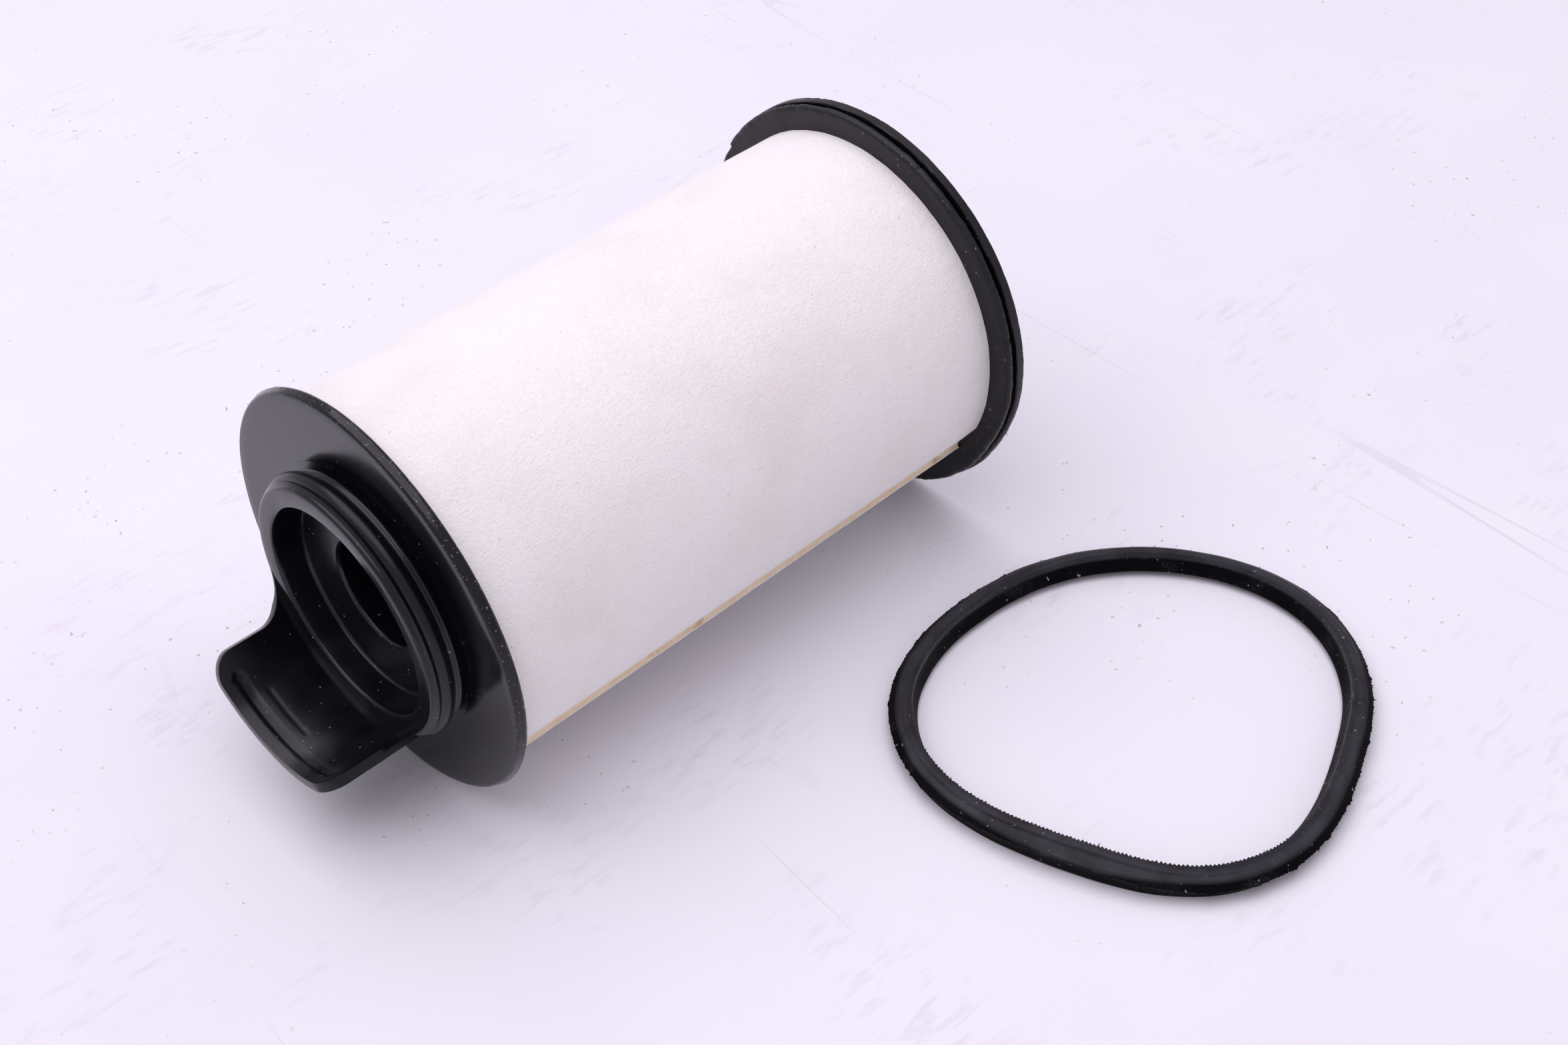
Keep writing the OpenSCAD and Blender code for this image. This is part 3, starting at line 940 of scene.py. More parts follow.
@dataclass
class Tongue:
    """The curved key tongue: its sizes and the places on it, as axial place and chord."""

    front_x: float
    root_x: float
    lip_x: float
    outer_r: float = 32.5
    thick: float = 2.4
    angle: float = 260.6
    half: float = 23.38
    corner: float = 5.6
    fillet: float = 8.0
    pocket_len: float = 7.0
    pocket_w: float = 3.4
    pocket_depth: float = 0.9
    band_from: float = 3.2
    band_to: float = 5.7
    band_depth: float = 0.08
    root_sink: float = 1.8
    columns: int = 96

    def edges(self, x: float) -> Point2:
        """Find the side edges at a place along the axis.

        Args:
            x: place along the axis.

        Returns:
            The left and the right edge's chord.
        """
        depth = x - self.front_x
        half = self.half
        if depth < self.corner:
            half += math.sqrt(max(0.0, self.corner ** 2 - (self.corner - depth) ** 2)) - self.corner
        left = -half
        flare = x - (self.lip_x - self.fillet)
        if flare > 0:
            left -= self.fillet - math.sqrt(max(0.0, self.fillet ** 2 - min(flare, self.fillet) ** 2))
        return left, half

    def shell(self, x: float, s: float) -> float:
        """Radius of the outer face, which sinks into the lip at the left root."""
        sunk = smoothstep(self.lip_x - 3.0, self.lip_x - 0.3, x)
        return self.outer_r - self.root_sink * sunk * smoothstep(1.0 - self.half, -self.half - 3.0, s)

    def recess(self, x: float, s: float) -> float:
        """Depth of the shallow marks on the inner face.

        Args:
            x: place along the axis.
            s: chord on the outer face.

        Returns:
            How far the inner face lies below its plain surface.
        """
        depth = x - self.front_x
        ends = smoothstep(-16.5, -15.9, s) * (1 - smoothstep(19.5, 20.5, s))
        band = smoothstep(self.band_from - 0.2, self.band_from + 0.2, depth)
        band *= 1 - smoothstep(self.band_to - 0.2, self.band_to + 0.2, depth)
        short = swell(depth - 8.4, 0.45) * smoothstep(-13, -12.4, s) * (1 - smoothstep(3, 3.6, s))
        spot = 1 - smoothstep(1.25, 1.55, math.hypot(depth - 4.4, s + 17.6))
        witness = swell(s - 1.5, 0.3) * smoothstep(8.6, 9.2, depth)
        return self.band_depth * band * ends + 0.05 * short + 0.12 * spot - 0.04 * witness

    def point(self, x: float, s: float, r: float) -> Point3:
        """A point of the tongue from its axial place, its chord on the outer face and its radius."""
        return at_clock(x, r, self.angle + math.degrees(math.asin(s / self.outer_r)))

    def inner(self, x: float, s: float) -> float:
        """Radius of the inner face, with its marks and the pocket at the right root.

        Args:
            x: place along the axis.
            s: chord on the outer face.

        Returns:
            The radius.
        """
        start = self.lip_x - self.pocket_len
        pocket = smoothstep(start, start + 0.9, x) * smoothstep(self.half - self.pocket_w, self.half, s)
        return self.outer_r - self.thick + self.recess(x, s) + self.pocket_depth * pocket

    def rows(self) -> list[float]:
        """Spread the rows of the tongue's net, closer together at its corners and marks.

        Returns:
            Places along the axis, in order.
        """
        arc = [self.front_x + self.corner * (1 - math.cos(math.radians(a))) for a in range(0, 91, 9)]
        marks = [self.band_from, self.band_to]
        near = [self.front_x + m + d for m in marks for d in (-0.14, 0.14)]
        bend = range(20, 91, 5)
        arc += [self.lip_x - self.fillet * (1 - math.sin(math.radians(a))) for a in bend]
        start = self.front_x + self.corner
        count = round((self.root_x - start) / 0.45)
        run = [start + (self.root_x - start) * i / count for i in range(count + 1)]
        ordered = sorted(arc + near + run)
        kept = [ordered[0]]
        kept += [x for x, before in zip(ordered[1:], ordered) if x - before > 0.03]
        return kept

    def build(self) -> Piece:
        """Make the tongue as a closed curved plate with rounded edges.

        Returns:
            The tongue alone, to be fused with the cup.
        """
        rows, wide = self.rows(), self.columns + 1
        shape = Shape()
        for face in (self.shell, self.inner):
            for x in rows:
                left, right = self.edges(x)
                chords = [left + (right - left) * k / self.columns for k in range(wide)]
                shape.points += [self.point(x, s, face(x, s)) for s in chords]
        tall = len(rows)
        skin = wide * tall
        for i in range(tall - 1):
            for k in range(self.columns):
                a, b = i * wide + k, (i + 1) * wide + k
                shape.faces.append((a, a + 1, b + 1, b))
                shape.faces.append((skin + a, skin + b, skin + b + 1, skin + a + 1))
            for k in (0, self.columns):
                a, b = i * wide + k, (i + 1) * wide + k
                shape.faces.append((a, b, skin + b, skin + a))
        for k in range(self.columns):
            for i in (0, tall - 1):
                a = i * wide + k
                shape.faces.append((a, a + 1, skin + a + 1, skin + a))
        piece = shape.build("tongue")
        bevel(piece, 0.6, segments=4, limit=55)
        return piece


@dataclass
class Neck:
    """Cup with a rounded mouth lip, seal groove, collar, base plate, spigot and key tongue."""

    low: Vector
    high: Vector
    socket_r: float
    outlet_r: float
    mouth_x: float = -8.0
    lip_r: float = 31.3
    lip_back: float = -6.2
    groove_r: float = 29.0
    groove_end: float = -2.0
    boss_r: float = 31.5
    collar_r: float = 33.5
    collar_x: float = -0.3
    flange_t: float = 2.1
    base_x: float = 3.9
    spigot_r: float = 17.35
    seal_t: float = 4.0
    seal_r: float = 33.0
    seal_x: float = -4.1
    flash_span: Point2 = (222.0, 304.0)

    def uneven(self, x: float, r: float, angle: float) -> Point2:
        """How far the cup strays from a true turned shape."""
        wave = around(angle, 3, x * 0.2)
        return 0.05 * wave * smoothstep(self.lip_back, self.mouth_x, x), 0.05 * wave

    def slack(self, x: float, r: float, angle: float) -> Point2:
        """How far the seal cord strays in its groove."""
        return 0.06 * around(angle, 2, 5), 0.08 * around(angle, 3, 1)

    def cup(self) -> Piece:
        """Turn the cup.

        Returns:
            The neck without its tongue.
        """
        outline = rounded([
            (self.high.x, self.outlet_r, 0.4), (0.0, self.outlet_r, 1.3), (0.0, self.socket_r, 1.6),
            (self.mouth_x, self.socket_r, 1.0), (self.mouth_x, self.lip_r, 1.1),
            (self.lip_back, self.lip_r, 0.35), (self.lip_back, self.groove_r, 0.3),
            (self.groove_end, self.groove_r, 0.3), (self.groove_end, self.boss_r, 0.5),
            (self.collar_x - 0.5, self.boss_r + 0.1, 0.5), (-0.06, self.collar_r, 0.0),
            (self.flange_t, self.collar_r, 0.05), (self.flange_t, self.high.z, 0.1),
            (self.base_x, self.high.z, 0.3), (self.base_x, self.spigot_r, 0.3),
            (self.high.x, self.spigot_r, 0.4),
        ], steps=5)
        return lathe(refined(outline, 2.2), turns(240), self.uneven).build("neck")

    def flash(self) -> Shape:
        """Grow crumbs of flash along the lip's face, where the tongue leaves it.

        Returns:
            All the crumbs.
        """
        dice = random.Random(11)
        shape = Shape()
        angle, end = self.flash_span
        while angle < end:
            size = dice.uniform(0.12, 0.34)
            x = self.mouth_x + dice.uniform(-0.1, 0.15)
            root = Vector(at_clock(x, self.lip_r - 1.15, angle))
            way = Vector(at_clock(-0.7, 0.7, angle + dice.uniform(-40, 40)))
            along = Vector(at_clock(0, 1, angle + 90))
            shape.add_sliver(root, way + along * dice.uniform(-1.5, 1.5), along * dice.uniform(-0.3, 0.3),
                             size * 2.2, size)
            angle += dice.uniform(0.5, 3.4)
        return shape

    def build(self) -> None:
        """Make the neck with its tongue, the flash crumbs and the seal behind the lip."""
        neck = self.cup()
        tongue = Tongue(front_x=self.low.x, root_x=self.lip_back - 0.4, lip_x=self.mouth_x)
        fuse(neck, tongue.build())
        place_piece(neck, NECK_POLYMER, Body.ELEMENT, "neck_polymer", "neck_socket")
        crumbs = self.flash().build("neck_flash")
        place_piece(crumbs, NECK_POLYMER, Body.ELEMENT, "neck_polymer")
        self.seal()

    def seal(self) -> None:
        """Turn the seal cord, a little slack in its groove."""
        half = self.seal_t / 2
        outline = []
        for step in range(32):
            a = math.tau * step / 32
            outline.append((self.seal_x + half * math.sin(a), self.seal_r - half + half * math.cos(a)))
        piece = lathe(outline, turns(200), self.slack).build("neck_seal_cord", crease=60)
        place_piece(piece, SEAL_RUBBER, Body.ELEMENT, "seal_rubber", "neck_seal")


# ---- felt sleeve


@dataclass
class FeltSleeve:
    """The felt wrapped once round the pack, with its glued overlap."""

    low: Vector
    high: Vector
    seam: float
    thick: float = 1.6
    skin: float = 0.12
    flat_r: float = 45.12
    spans: int = 132
    glue_spans: int = 300

    @property
    def inner_r(self) -> float:
        """Radius of the felt's inner face."""
        return self.high.z - self.thick

    def felted(self, x: float, r: float, angle: float) -> Point2:
        """Shift of a point of the true sleeve: only its outer face moves."""
        return (0.0, self.surface(x, angle) - r) if r > self.inner_r + 0.1 else (0.0, 0.0)

    def surface(self, x: float, angle: float) -> float:
        """Radius of the felt's outer face, with its overlap, dents and nap.

        Args:
            x: place along the axis.
            angle: clock angle in degrees.

        Returns:
            The radius.
        """
        past = apart(angle, self.seam)
        full = self.high.z - self.skin
        # Past the seam the layer below lies flat until it meets the curve again
        level = min(full, self.flat_r / math.cos(math.radians(past))) if 0 < past < 40 else full
        dents = 0.14 * around(angle, 2.2, x / 42) + 0.05 * around(angle, 9, x / 5)
        nap = 0.035 * around(angle, 46, x / 1.4)
        ends = smoothstep(9, 0, self.high.x - x) * 0.1 * around(angle, 14, x / 5)
        return level + (dents + nap + ends) * (0.35 if 0 <= past < 16 else 1.0)

    def build(self) -> None:
        """Make the sleeve and its line of glue."""
        x0, x1 = self.low.x, self.high.x - 0.1
        outer = [(x0 + (x1 - x0) * i / self.spans, self.high.z) for i in range(self.spans + 1)]
        outline = [(x0 + 0.05, self.inner_r), *outer, (x1 - 0.05, self.inner_r)]
        near = [self.seam + d for d in (-0.6, -0.3, -0.12, 0.0, 0.1, 0.4, 1.0)]
        angles = sorted({round(a % 360, 3) for a in turns(250) + near})
        piece = lathe(outline, angles, self.felted).build("felt_sleeve", crease=75)
        place_piece(piece, FELT, Body.ELEMENT, "felt", "felt_wrap")
        self.glue_line()

    def glue_line(self) -> None:
        """Lay the adhesive on the cut edge of the overlap, which faces up."""
        x0, x1 = self.low.x + 0.4, self.high.x - 0.4
        top = self.high.z - self.skin
        rings = []
        for i in range(self.glue_spans + 1):
            x = x0 + (x1 - x0) * i / self.glue_spans
            ends = smoothstep(26, 6, x - x0) + smoothstep(30, 12, x1 - x)
            spread = 1.5 + 0.5 * ripple(x / 8, 4) + 0.25 * ripple(x / 1.7, 8) + 0.9 * ends
            bulge = 0.35 + 0.12 * ripple(x / 2.6, 21) + 0.1 * ripple(x / 0.9, 40)
            brim = top - 0.28 + 0.16 * ripple(x / 5, 31) + 0.09 * ripple(x / 1.2, 37)
            base = self.surface(x, self.seam + spread)
            rings.append([
                at_clock(x, r, self.seam + d) for d, r in (
                    (-0.25, base - 0.5), (spread + 0.5, base - 0.5), (spread, base + 0.04),
                    (spread * 0.7, base + 0.16), (0.9 * bulge + 0.45, base + 0.4),
                    (bulge + 0.18, base + 0.75),
                    (bulge * 0.8, (base + brim) / 2 + 0.15), (bulge * 0.5, brim - 0.06), (0.0, brim),
                    (-0.25, brim - 0.1),
                )
            ])
        shape = Shape()
        shape.add_rings(rings, looped=False)
        piece = shape.build("seam_glue_line", crease=70)
        place_piece(piece, SEAM_GLUE, Body.ELEMENT, "seam_glue", "seam_bead")


# ---- rear cap and lips


@dataclass
class RearCap:
    """Moulded rear cap: plate, rim, hub round the valve seat and stiffening ribs."""

    low: Vector
    high: Vector
    plate_t: float = 2.4
    rim_w: float = 3.0
    seat_r: float = 12.05
    hub_r: float = 16.0
    ribs: int = 8
    rib_t: float = 1.8
    rib_share: float = 0.7

    def body(self) -> Piece:
        """Turn the plate with its rim and hub.

        Returns:
            The cap without its ribs.
        """
        x0, x1, x2 = self.low.x, self.low.x + self.plate_t, self.high.x
        r = self.high.z
        outline = rounded([
            (x0, self.seat_r, 0.1), (x0, r - 1.9, 0.0), (x0 + 0.9, r, 0.0), (x2, r, 0.35),
            (x2, r - self.rim_w, 0.45), (x1, r - self.rim_w, 0.7), (x1, self.hub_r, 0.7),
            (x2, self.hub_r, 0.45), (x2, self.seat_r, 0.3),
        ], steps=4)
        return lathe(refined(outline, 3), turns(240)).build("rear_cap_moulding")

    def rib_set(self) -> Piece:
        """Make the ribs as one object, each with a rounded back.

        Returns:
            The ribs.
        """
        x1 = self.low.x + self.plate_t
        high = (self.high.x - x1) * self.rib_share
        half = self.rib_t / 2
        section = rounded([
            (x1 - 0.3, -half - 0.15, 0), (x1 - 0.3, half + 0.15, 0), (x1 + high, half - 0.1, 0.45),
            (x1 + high, -half + 0.1, 0.45),
        ])
        start, end = self.hub_r - 0.4, self.high.z - self.rim_w + 0.4
        shape = Shape()
        for i in range(self.ribs):
            turn = Matrix.Rotation(math.tau * i / self.ribs, 3, "X")
            rings = [[tuple(turn @ Vector((x, y, z))) for x, y in section] for z in (start, end)]
            shape.add_rings(rings, looped=False)
        return shape.build("ribs")

    def build(self) -> None:
        """Join the ribs to the body."""
        piece = self.body()
        fuse(piece, self.rib_set())
        place_piece(piece, CAP_RUBBER, Body.ELEMENT, "cap_rubber", "rear_cap")


@dataclass
class LipSeal:
    """Rubber ring with two flared lips, wavy and ragged where they were trimmed."""

    low: Vector
    high: Vector
    inner_r: float = 47.55
    face_r: float = 46.2
    front_r: float = 51.6
    groove_r: float = 49.3
    stray_hairs: int = 34
    hair_angles: tuple[float, ...] = (334, 337, 352, 20, 44, 61, 316)
    hook_angle: float = 341.0

    def outline(self) -> list[Point2]:
        """Draw the section at rest, before the lips wander.

        Returns:
            The closed outline.
        """
        x, r = self.low.x, self.high.z
        return refined(rounded([
            (x + 0.05, self.inner_r, 0.0), (x + 0.05, self.face_r, 0.0), (x - 0.08, self.face_r, 0.0),
            (x + 0.75, self.front_r, 0.1), (x + 1.15, self.front_r + 0.05, 0.1),
            (x + 2.0, self.groove_r + 0.3, 0.4), (x + 2.35, self.groove_r, 0.3),
            (x + 2.8, self.groove_r, 0.3), (x + 3.65, r - 0.1, 0.15), (x + 4.4, r, 0.2),
            (x + 4.75, r - 0.6, 0.2), (x + 4.7, self.inner_r, 0.0),
        ], steps=3), 0.7)

    def wander(self, x: float, r: float, angle: float) -> Point2:
        """How far the lips stray from the true section.

        Args:
            x: place along the axis.
            r: place outwards.
            angle: clock angle in degrees.

        Returns:
            The shift along the axis and outwards.
        """
        rear = smoothstep(self.low.x + 2.2, self.low.x + 3.2, x)
        free = smoothstep(self.groove_r, self.high.z, r)
        # The lips are squashed flat at the top left, with a sharp start, and at the lower right
        flats = 0.75 * swell((angle - 150) % 360, 16) + 1.0 * swell(apart(angle, -25), 17)
        slow = 0.22 * around(angle, 3.2, 2 + rear * 4)
        quick = 0.14 * around(angle, 15, 7 + rear * 5)
        ragged = 0.1 * around(angle, 75, x)
        nick = -0.35 * smoothstep(0.45, 0.75, around(angle, 28, 30 + rear * 9))
        sway = 0.35 * around(angle, 5, 40 + rear * 8) + 0.12 * around(angle, 22, 50 + rear * 8)
        tip = smoothstep(self.front_r - 1.2, self.front_r, r)
        radial = free * (slow + quick - flats * 0.9) + tip * (ragged + nick)
        return sway * free * (1.0 - 0.7 * rear), min(radial, self.high.z + 0.3 - r)

    def hairs(self) -> Shape:
        """Tear hairs of flash off both lips.

        Returns:
            All the hairs.
        """
        dice = random.Random(5)
        shape = Shape()
        places = [*(dice.uniform(0, 360) for _ in range(self.stray_hairs)), *self.hair_angles]
        for angle in places:
            rear = dice.random() < 0.6
            x = self.low.x + (4.3 if rear else 1.15)
            r = self.high.z if rear else self.front_r
            dx, dr = self.wander(x, r, angle)
            root = Vector(at_clock(x + dx, r + dr - 0.25, angle))
            out = Vector(at_clock(dice.uniform(-0.6, 0.3), 1, angle + dice.uniform(-45, 45)))
            bend = Vector(at_clock(dice.uniform(-0.5, 0.5), 0.2, angle + 90 * dice.choice((-1, 1))))
            length, thick = dice.uniform(0.5, 1.25), dice.uniform(0.16, 0.34)
            shape.add_sliver(root, out, bend * 0.8, length, thick)
        hook = Vector(at_clock(self.high.x - 0.4, self.high.z - 1.1, self.hook_angle))
        out = Vector(at_clock(0, 1, self.hook_angle))
        shape.add_sliver(hook, out, Vector(at_clock(0.1, 0.9, self.hook_angle - 91)), 1.6, 0.5)
        return shape

    def build(self) -> None:
        """Make the ring and its hairs."""
        piece = lathe(self.outline(), turns(900), self.wander).build("lip_seal_ring", crease=45)
        place_piece(piece, LIP_RUBBER, Body.ELEMENT, "lip_rubber", "rear_lip_seal")
        place_piece(self.hairs().build("lip_flash"), LIP_RUBBER, Body.ELEMENT, "lip_rubber")


# ---- bypass valve


@dataclass
class ValveSpring:
    """Compression spring with closed end coils, held between the cage and the valve disc."""

    low: Vector
    high: Vector
    wire: float = 1.2
    coils: float = 6.0
    travel: float = 5.0
    closed: float = 0.16
    steps: int = 40
    sides: int = 14

    def reach(self, t: float) -> float:
        """Find how far along the spring a share of its coils has come.

        Args:
            t: share of the coils, from 0 to 1.

        Returns:
            Share of the length, from 0 to 1.
        """
        slow = 0.25
        if t < self.closed:
            return slow * t
        if t > 1 - self.closed:
            return 1 - slow * (1 - t)
        start = slow * self.closed
        return start + (1 - 2 * start) * (t - self.closed) / (1 - 2 * self.closed)

    def build(self) -> None:
        """Sweep the wire."""
        mean = self.high.z - self.wire / 2
        x0, x1 = self.low.x + self.wire / 2, self.high.x - self.wire / 2
        count = int(self.coils * self.steps)
        rings = []
        for i in range(count + 1):
            t = i / count
            a = math.tau * self.coils * t
            middle = Vector((x0 + (x1 - x0) * self.reach(t), mean * math.cos(a), mean * math.sin(a)))
            out = Vector((0, math.cos(a), math.sin(a)))
            ring = []
            for k in range(self.sides):
                b = math.tau * k / self.sides
                spoke = Vector((1, 0, 0)) * math.sin(b) + out * math.cos(b)
                ring.append(tuple(middle + spoke * (self.wire / 2)))
            rings.append(ring)
        shape = Shape()
        shape.add_rings(rings, looped=False)
        piece = shape.build("bypass_spring", crease=50)
        place_piece(piece, SPRING_STEEL, Body.ELEMENT, "spring_steel", "valve_spring")
        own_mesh(piece)


# ---- loose cover seal


@dataclass
class CoverSeal:
    """The slack rubber ring on the floor: a ridged square section that rolls as it goes round."""

    low: Vector
    high: Vector
    tilt: float
    radius: float = 52.5
    oval: tuple[float, float] = (2.4, -33.0)
    egg: tuple[float, float] = (2.2, 26.0)
    square: tuple[float, float] = (1.2, -100.0)
    side: float = 5.6
    roll: float = 24.0
    teeth: int = 330
    stations: int = 1650
    # Where the two torn edges come in the section's list
    outer_tip: int = 11
    inner_tip: int = 23
    torn_bits: int = 110

    def mean_radius(self, angle: float) -> float:
        """Distance of the ring's middle line from its centre.

        Args:
            angle: place round the ring, in degrees.

        Returns:
            The distance.
        """
        return self.radius + sum(
            bend * math.cos(math.radians(k * angle - phase))
            for k, (bend, phase) in ((2, self.oval), (3, self.egg), (4, self.square))
        )

    def roll_at(self, angle: float) -> float:
        """How far the section has rolled outwards at an angle, in degrees."""
        sway = 3 * math.cos(math.radians(2 * (angle - 50)))
        return self.roll + sway - 15 * swell(apart(angle, 205), 24)

    def section(self, angle: float) -> list[Point2]:
        """Draw the section at an angle, before the roll.

        Args:
            angle: place round the ring, in degrees.

        Returns:
            The closed outline, as places outward and up from its middle.
        """
        h = self.side / 2
        near = 0.5 + 0.5 * math.cos(math.radians(angle - 235))
        torn = smoothstep(0.1, 0.5, around(angle, 18, 8))
        outer_fin = 0.1 + 0.55 * abs(around(angle, 75, 2)) + 0.35 * torn
        teeth = 0.5 + 0.5 * math.cos(math.radians(angle * self.teeth))
        inner_fin = 0.1 + 0.4 * abs(around(angle, 60, 14)) + 0.42 * near * teeth
        ridge = 0.12 * around(angle, 4, 3)
        return [
            (-h + 0.35, -h), (-h / 2, -h + 0.08), (0, -h + 0.1), (h / 2, -h + 0.08), (h - 0.35, -h),
            (h - 0.1, -h + 0.1), (h, -h + 0.35), (h - 0.16, -h / 2), (h - 0.25, -0.3),
            (h - 0.16, h * 0.35), (h - 0.02, h * 0.62), (h + outer_fin, h * 0.74), (h - 0.06, h * 0.8),
            (h - 0.5, h * 0.82), (h * 0.55, h * 0.9), (h * 0.3, h * 0.99 + ridge * 0.6),
            (0.15, h + ridge), (-0.35, h * 0.97 + ridge), (-0.75, h * 0.86), (-1.2, h * 0.76),
            (-1.7, h * 0.74), (-h + 0.5, h * 0.8), (-h + 0.1, h * 0.84),
            (-h - inner_fin * 0.75, h * 0.84 + inner_fin * 0.5), (-h - 0.02, h * 0.7), (-h + 0.12, h * 0.4),
            (-h + 0.2, -0.2), (-h + 0.14, -h * 0.55), (-h, -h + 0.35), (-h + 0.1, -h + 0.1),
        ]

    def build(self) -> None:
        """Sweep the section round the slack outline and lay it on the floor."""
        rings, tips = [], []
        for i in range(self.stations):
            angle = 360 * i / self.stations
            turn, lean = math.radians(angle), math.radians(self.roll_at(angle))
            out = Vector((math.cos(turn), math.sin(turn), 0))
            size = 1 + 0.02 * around(angle, 6, 1)
            mean = self.mean_radius(angle) + 0.15 * around(angle, 5, 12)
            rolled = [
                ((u * math.cos(lean) + v * math.sin(lean)) * size,
                 (v * math.cos(lean) - u * math.sin(lean)) * size) for u, v in self.section(angle)
            ]
            lift = 0.9 * swell(apart(angle, 200), 22) - min(v for _, v in rolled)
            ring = [tuple(out * (mean + u) + Vector((0, 0, v + lift))) for u, v in rolled]
            rings.append(ring)
            tips.append((Vector(ring[self.outer_tip]), Vector(ring[self.inner_tip]), out))
        shape = Shape()
        shape.add_rings(rings, looped=True)
        ring, bits = (self.settle(part, shape) for part in (shape, self.crumbs(tips)))
        piece = ring.build("cover_seal_ring", crease=48)
        place_piece(piece, RING_RUBBER, Body.RING, "ring_rubber", "cover_seal")
        place_piece(bits.build("cover_seal_flash"), RING_RUBBER, Body.RING, "ring_rubber")

    def crumbs(self, tips: Sequence[tuple[Vector, Vector, Vector]]) -> Shape:
        """Tear bits of flash off the two mould lines.

        Args:
            tips: the outer and the inner torn edge and the way outwards, at each station.

        Returns:
            All the bits.
        """
        dice = random.Random(23)
        shape = Shape()
        for _ in range(self.torn_bits):
            outer, inner, out = dice.choice(tips)
            root, way = (outer, out) if dice.random() < 0.55 else (inner, -out)
            jitter = Vector((dice.uniform(-1, 1), dice.uniform(-1, 1), dice.uniform(-0.4, 0.8)))
            shape.add_sliver(root - way * 0.15, way + jitter * 0.8, jitter * 0.3,
                             dice.uniform(0.25, 0.75), dice.uniform(0.16, 0.34))
        return shape

    def settle(self, part: Shape, whole: Shape) -> Shape:
        """Move a part made round the origin to the ring's place on the sloping floor.

        Args:
            part: the shape to move.
            whole: the ring, whose middle goes to the middle of the node's box.

        Returns:
            The moved shape.
        """
        points = np.array(whole.points)
        middle = (points.min(0) + points.max(0)) / 2
        turn = Matrix.Rotation(self.tilt, 3, "Y")
        shift = (self.low + self.high) / 2
        base = Vector(middle)
        moved = [tuple(turn @ (Vector(p) - base) + shift) for p in part.points]
        return Shape(moved, part.faces)


# ---- hidden CAD nodes


def dress_internals() -> None:
    """Give the CAD nodes that stay in the model their finishes."""
    finishes = {
        "outer_support": ZINC_STEEL, "pleat_pack": MEDIA, "core_scrim": SCRIM, "core_tube": CORE_NYLON,
        "front_potting": POTTING, "rear_potting": POTTING, "valve_seat": VALVE_STEEL,
        "valve_cage": VALVE_NYLON, "valve_disc": VALVE_STEEL, "valve_gasket": SEAL_RUBBER,
    }
    for name, finish in finishes.items():
        node, material = frame["nodes"][name], finish.material()
        for slot in node.material_slots:
            slot.link = "OBJECT"
            slot.material = material
        LOG.info("%s: dressed in %s", name, material.name)


# ---- studio


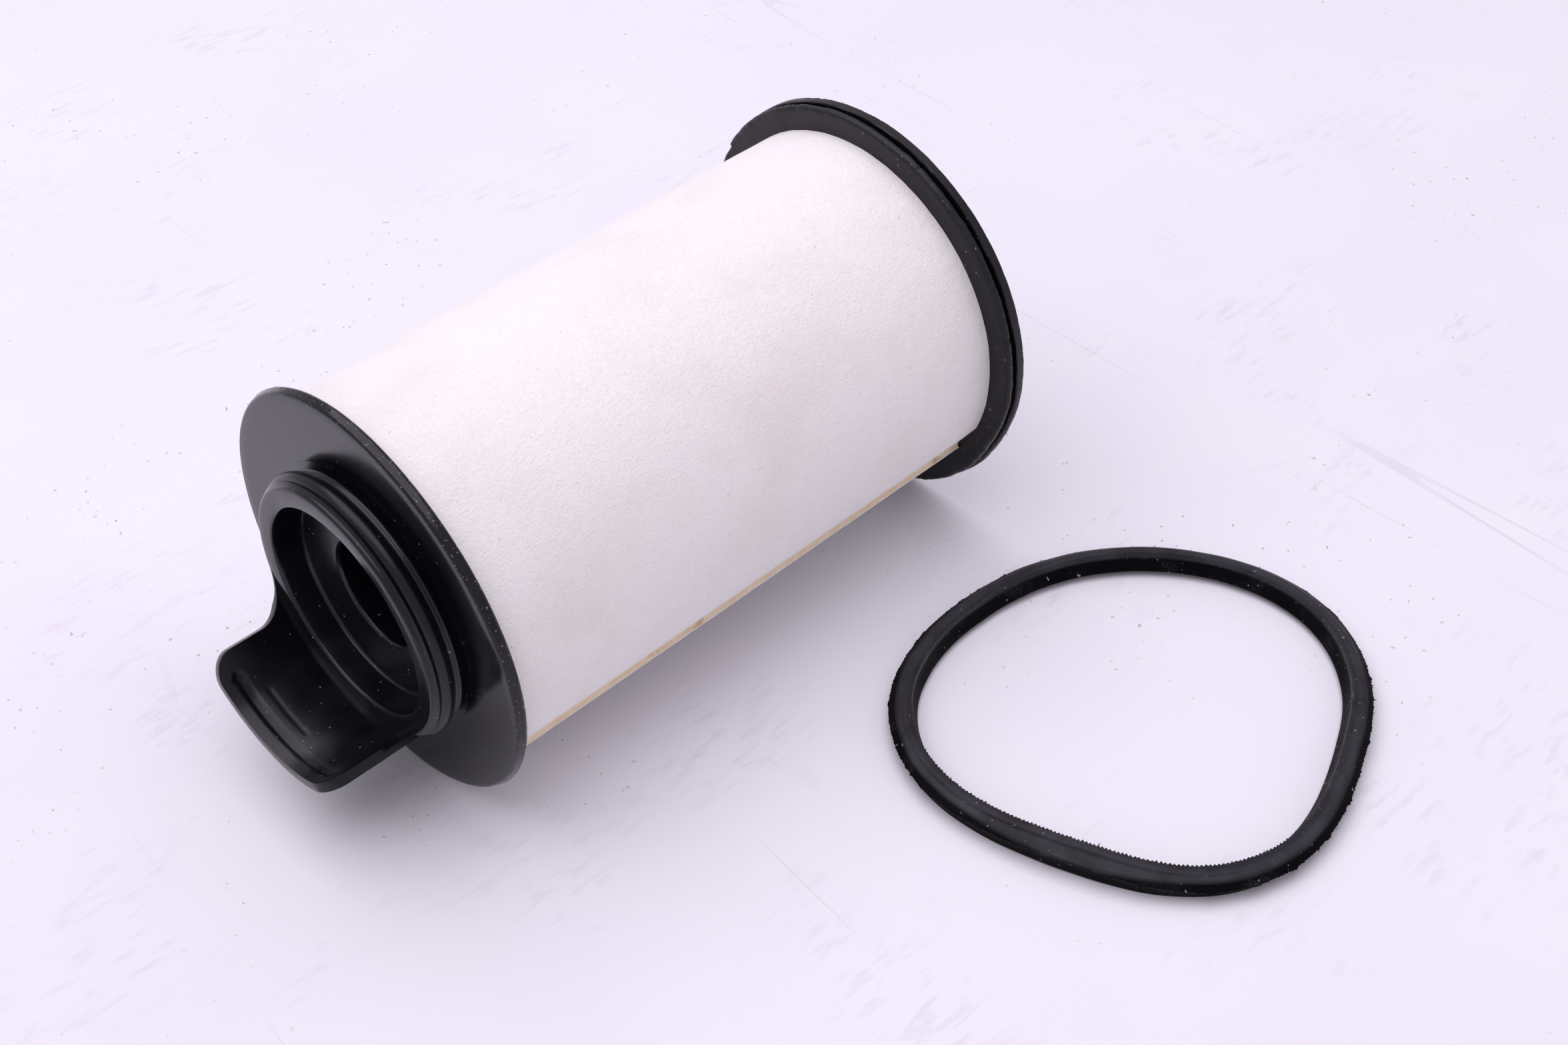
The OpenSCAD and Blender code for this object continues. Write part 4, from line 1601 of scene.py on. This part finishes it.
@dataclass
class Studio:
    """Pale floor, soft light and the camera."""

    front: Vector
    rear: Vector
    camera_place: Point3 = (-0.1582, -0.2978, 0.3242)
    look_at: Point3 = (0.04296, -0.08628, 0.05072)
    roll: float = -0.995
    lens: float = 47.93
    world_colour: Point3 = (0.94, 0.89, 1.0)
    world_strength: float = 0.61
    lamp_place: Point3 = (-0.08, 0.3, 1.5)
    lamp_target: Point3 = (0.07, -0.03, -0.03)
    lamp_size: float = 2.2
    lamp_power: float = 25.0
    lamp_colour: Point3 = (0.95, 0.9, 1.0)
    sink: float = 0.02

    @property
    def tilt(self) -> float:
        """Slope of the floor under the filter, in radians."""
        return math.atan2(self.front.z - self.rear.z, self.rear.x - self.front.x)

    def floor(self) -> None:
        """Lay the floor under the flange and the rear lip."""
        half = 4.0
        corners = [(-half, -half, 0), (half, -half, 0), (half, half, 0), (-half, half, 0)]
        mesh = bpy.data.meshes.new("studio_floor")
        mesh.from_pydata(corners, [], [(0, 1, 2, 3)])
        board = linked("studio_floor", mesh)
        board.data.materials.append(CoatedBoard().material())
        board.rotation_euler = (0, self.tilt, 0)
        board.location = (self.front - Vector((0, 0, self.sink))) * MM

    def light(self) -> None:
        """Add the surround and the soft lamp overhead."""
        world = bpy.data.worlds.new("soft_surround")
        bpy.context.scene.world = world
        world.use_nodes = True
        back = world.node_tree.nodes["Background"]
        back.inputs["Color"].default_value = (*self.world_colour, 1)
        back.inputs["Strength"].default_value = self.world_strength
        lamp = bpy.data.lights.new("soft_top", "AREA")
        lamp.shape, lamp.size, lamp.energy = "SQUARE", self.lamp_size, self.lamp_power
        lamp.color = self.lamp_colour
        self.aim(linked("soft_top", lamp), self.lamp_place, self.lamp_target)

    def aim(self, holder: Piece, place: Point3, target: Point3, roll: float = 0.0) -> None:
        """Put a lamp or camera at a place and turn it to a target.

        Args:
            holder: the lamp or camera.
            place: where it stands, in metres.
            target: where it looks, in metres.
            roll: turn about its own line of sight, in degrees.
        """
        holder.location = place
        ahead = (Vector(target) - Vector(place)).to_track_quat("-Z", "Y")
        holder.rotation_mode = "QUATERNION"
        holder.rotation_quaternion = ahead @ Quaternion((0, 0, 1), math.radians(roll))

    def camera(self) -> None:
        """Set the camera."""
        data = bpy.data.cameras.new("camera")
        data.lens, data.sensor_width = self.lens, 36
        data.clip_start, data.clip_end = 0.01, 20
        view = linked("camera", data)
        self.aim(view, self.camera_place, self.look_at, self.roll)
        bpy.context.scene.camera = view

    def build(self) -> None:
        """Set up the whole studio with plain colour response."""
        self.camera()
        self.floor()
        self.light()
        bpy.context.scene.view_settings.view_transform = "Standard"
        LOG.info("studio: floor slopes by %.2f degrees", math.degrees(self.tilt))


def main() -> None:
    """Build the studio and every sub-assembly in order."""
    logging.basicConfig(level=logging.INFO, format="%(message)s")
    cap_low, cap_high = node_box("front_cap")
    lip_low, lip_high = node_box("rear_lip_seal")
    studio = Studio(
        front=Vector(((cap_low.x + cap_high.x) / 2, 0, cap_low.z)),
        rear=Vector((lip_high.x - 0.4, 0, lip_low.z)),
    )
    studio.build()
    FrontCap(cap_low, cap_high).build()
    socket_r, outlet_r = (mount_radius(bore) for bore in ("neck_socket_bore", "outlet_bore"))
    Neck(*node_box("neck_socket"), socket_r=socket_r, outlet_r=outlet_r).build()
    FeltSleeve(*node_box("felt_wrap"), seam=325.0).build()
    RearCap(*node_box("rear_cap")).build()
    LipSeal(lip_low, lip_high).build()
    ValveSpring(*node_box("valve_spring")).build()
    CoverSeal(*node_box("cover_seal"), tilt=studio.tilt).build()
    dress_internals()


if __name__ == "__main__":
    main()
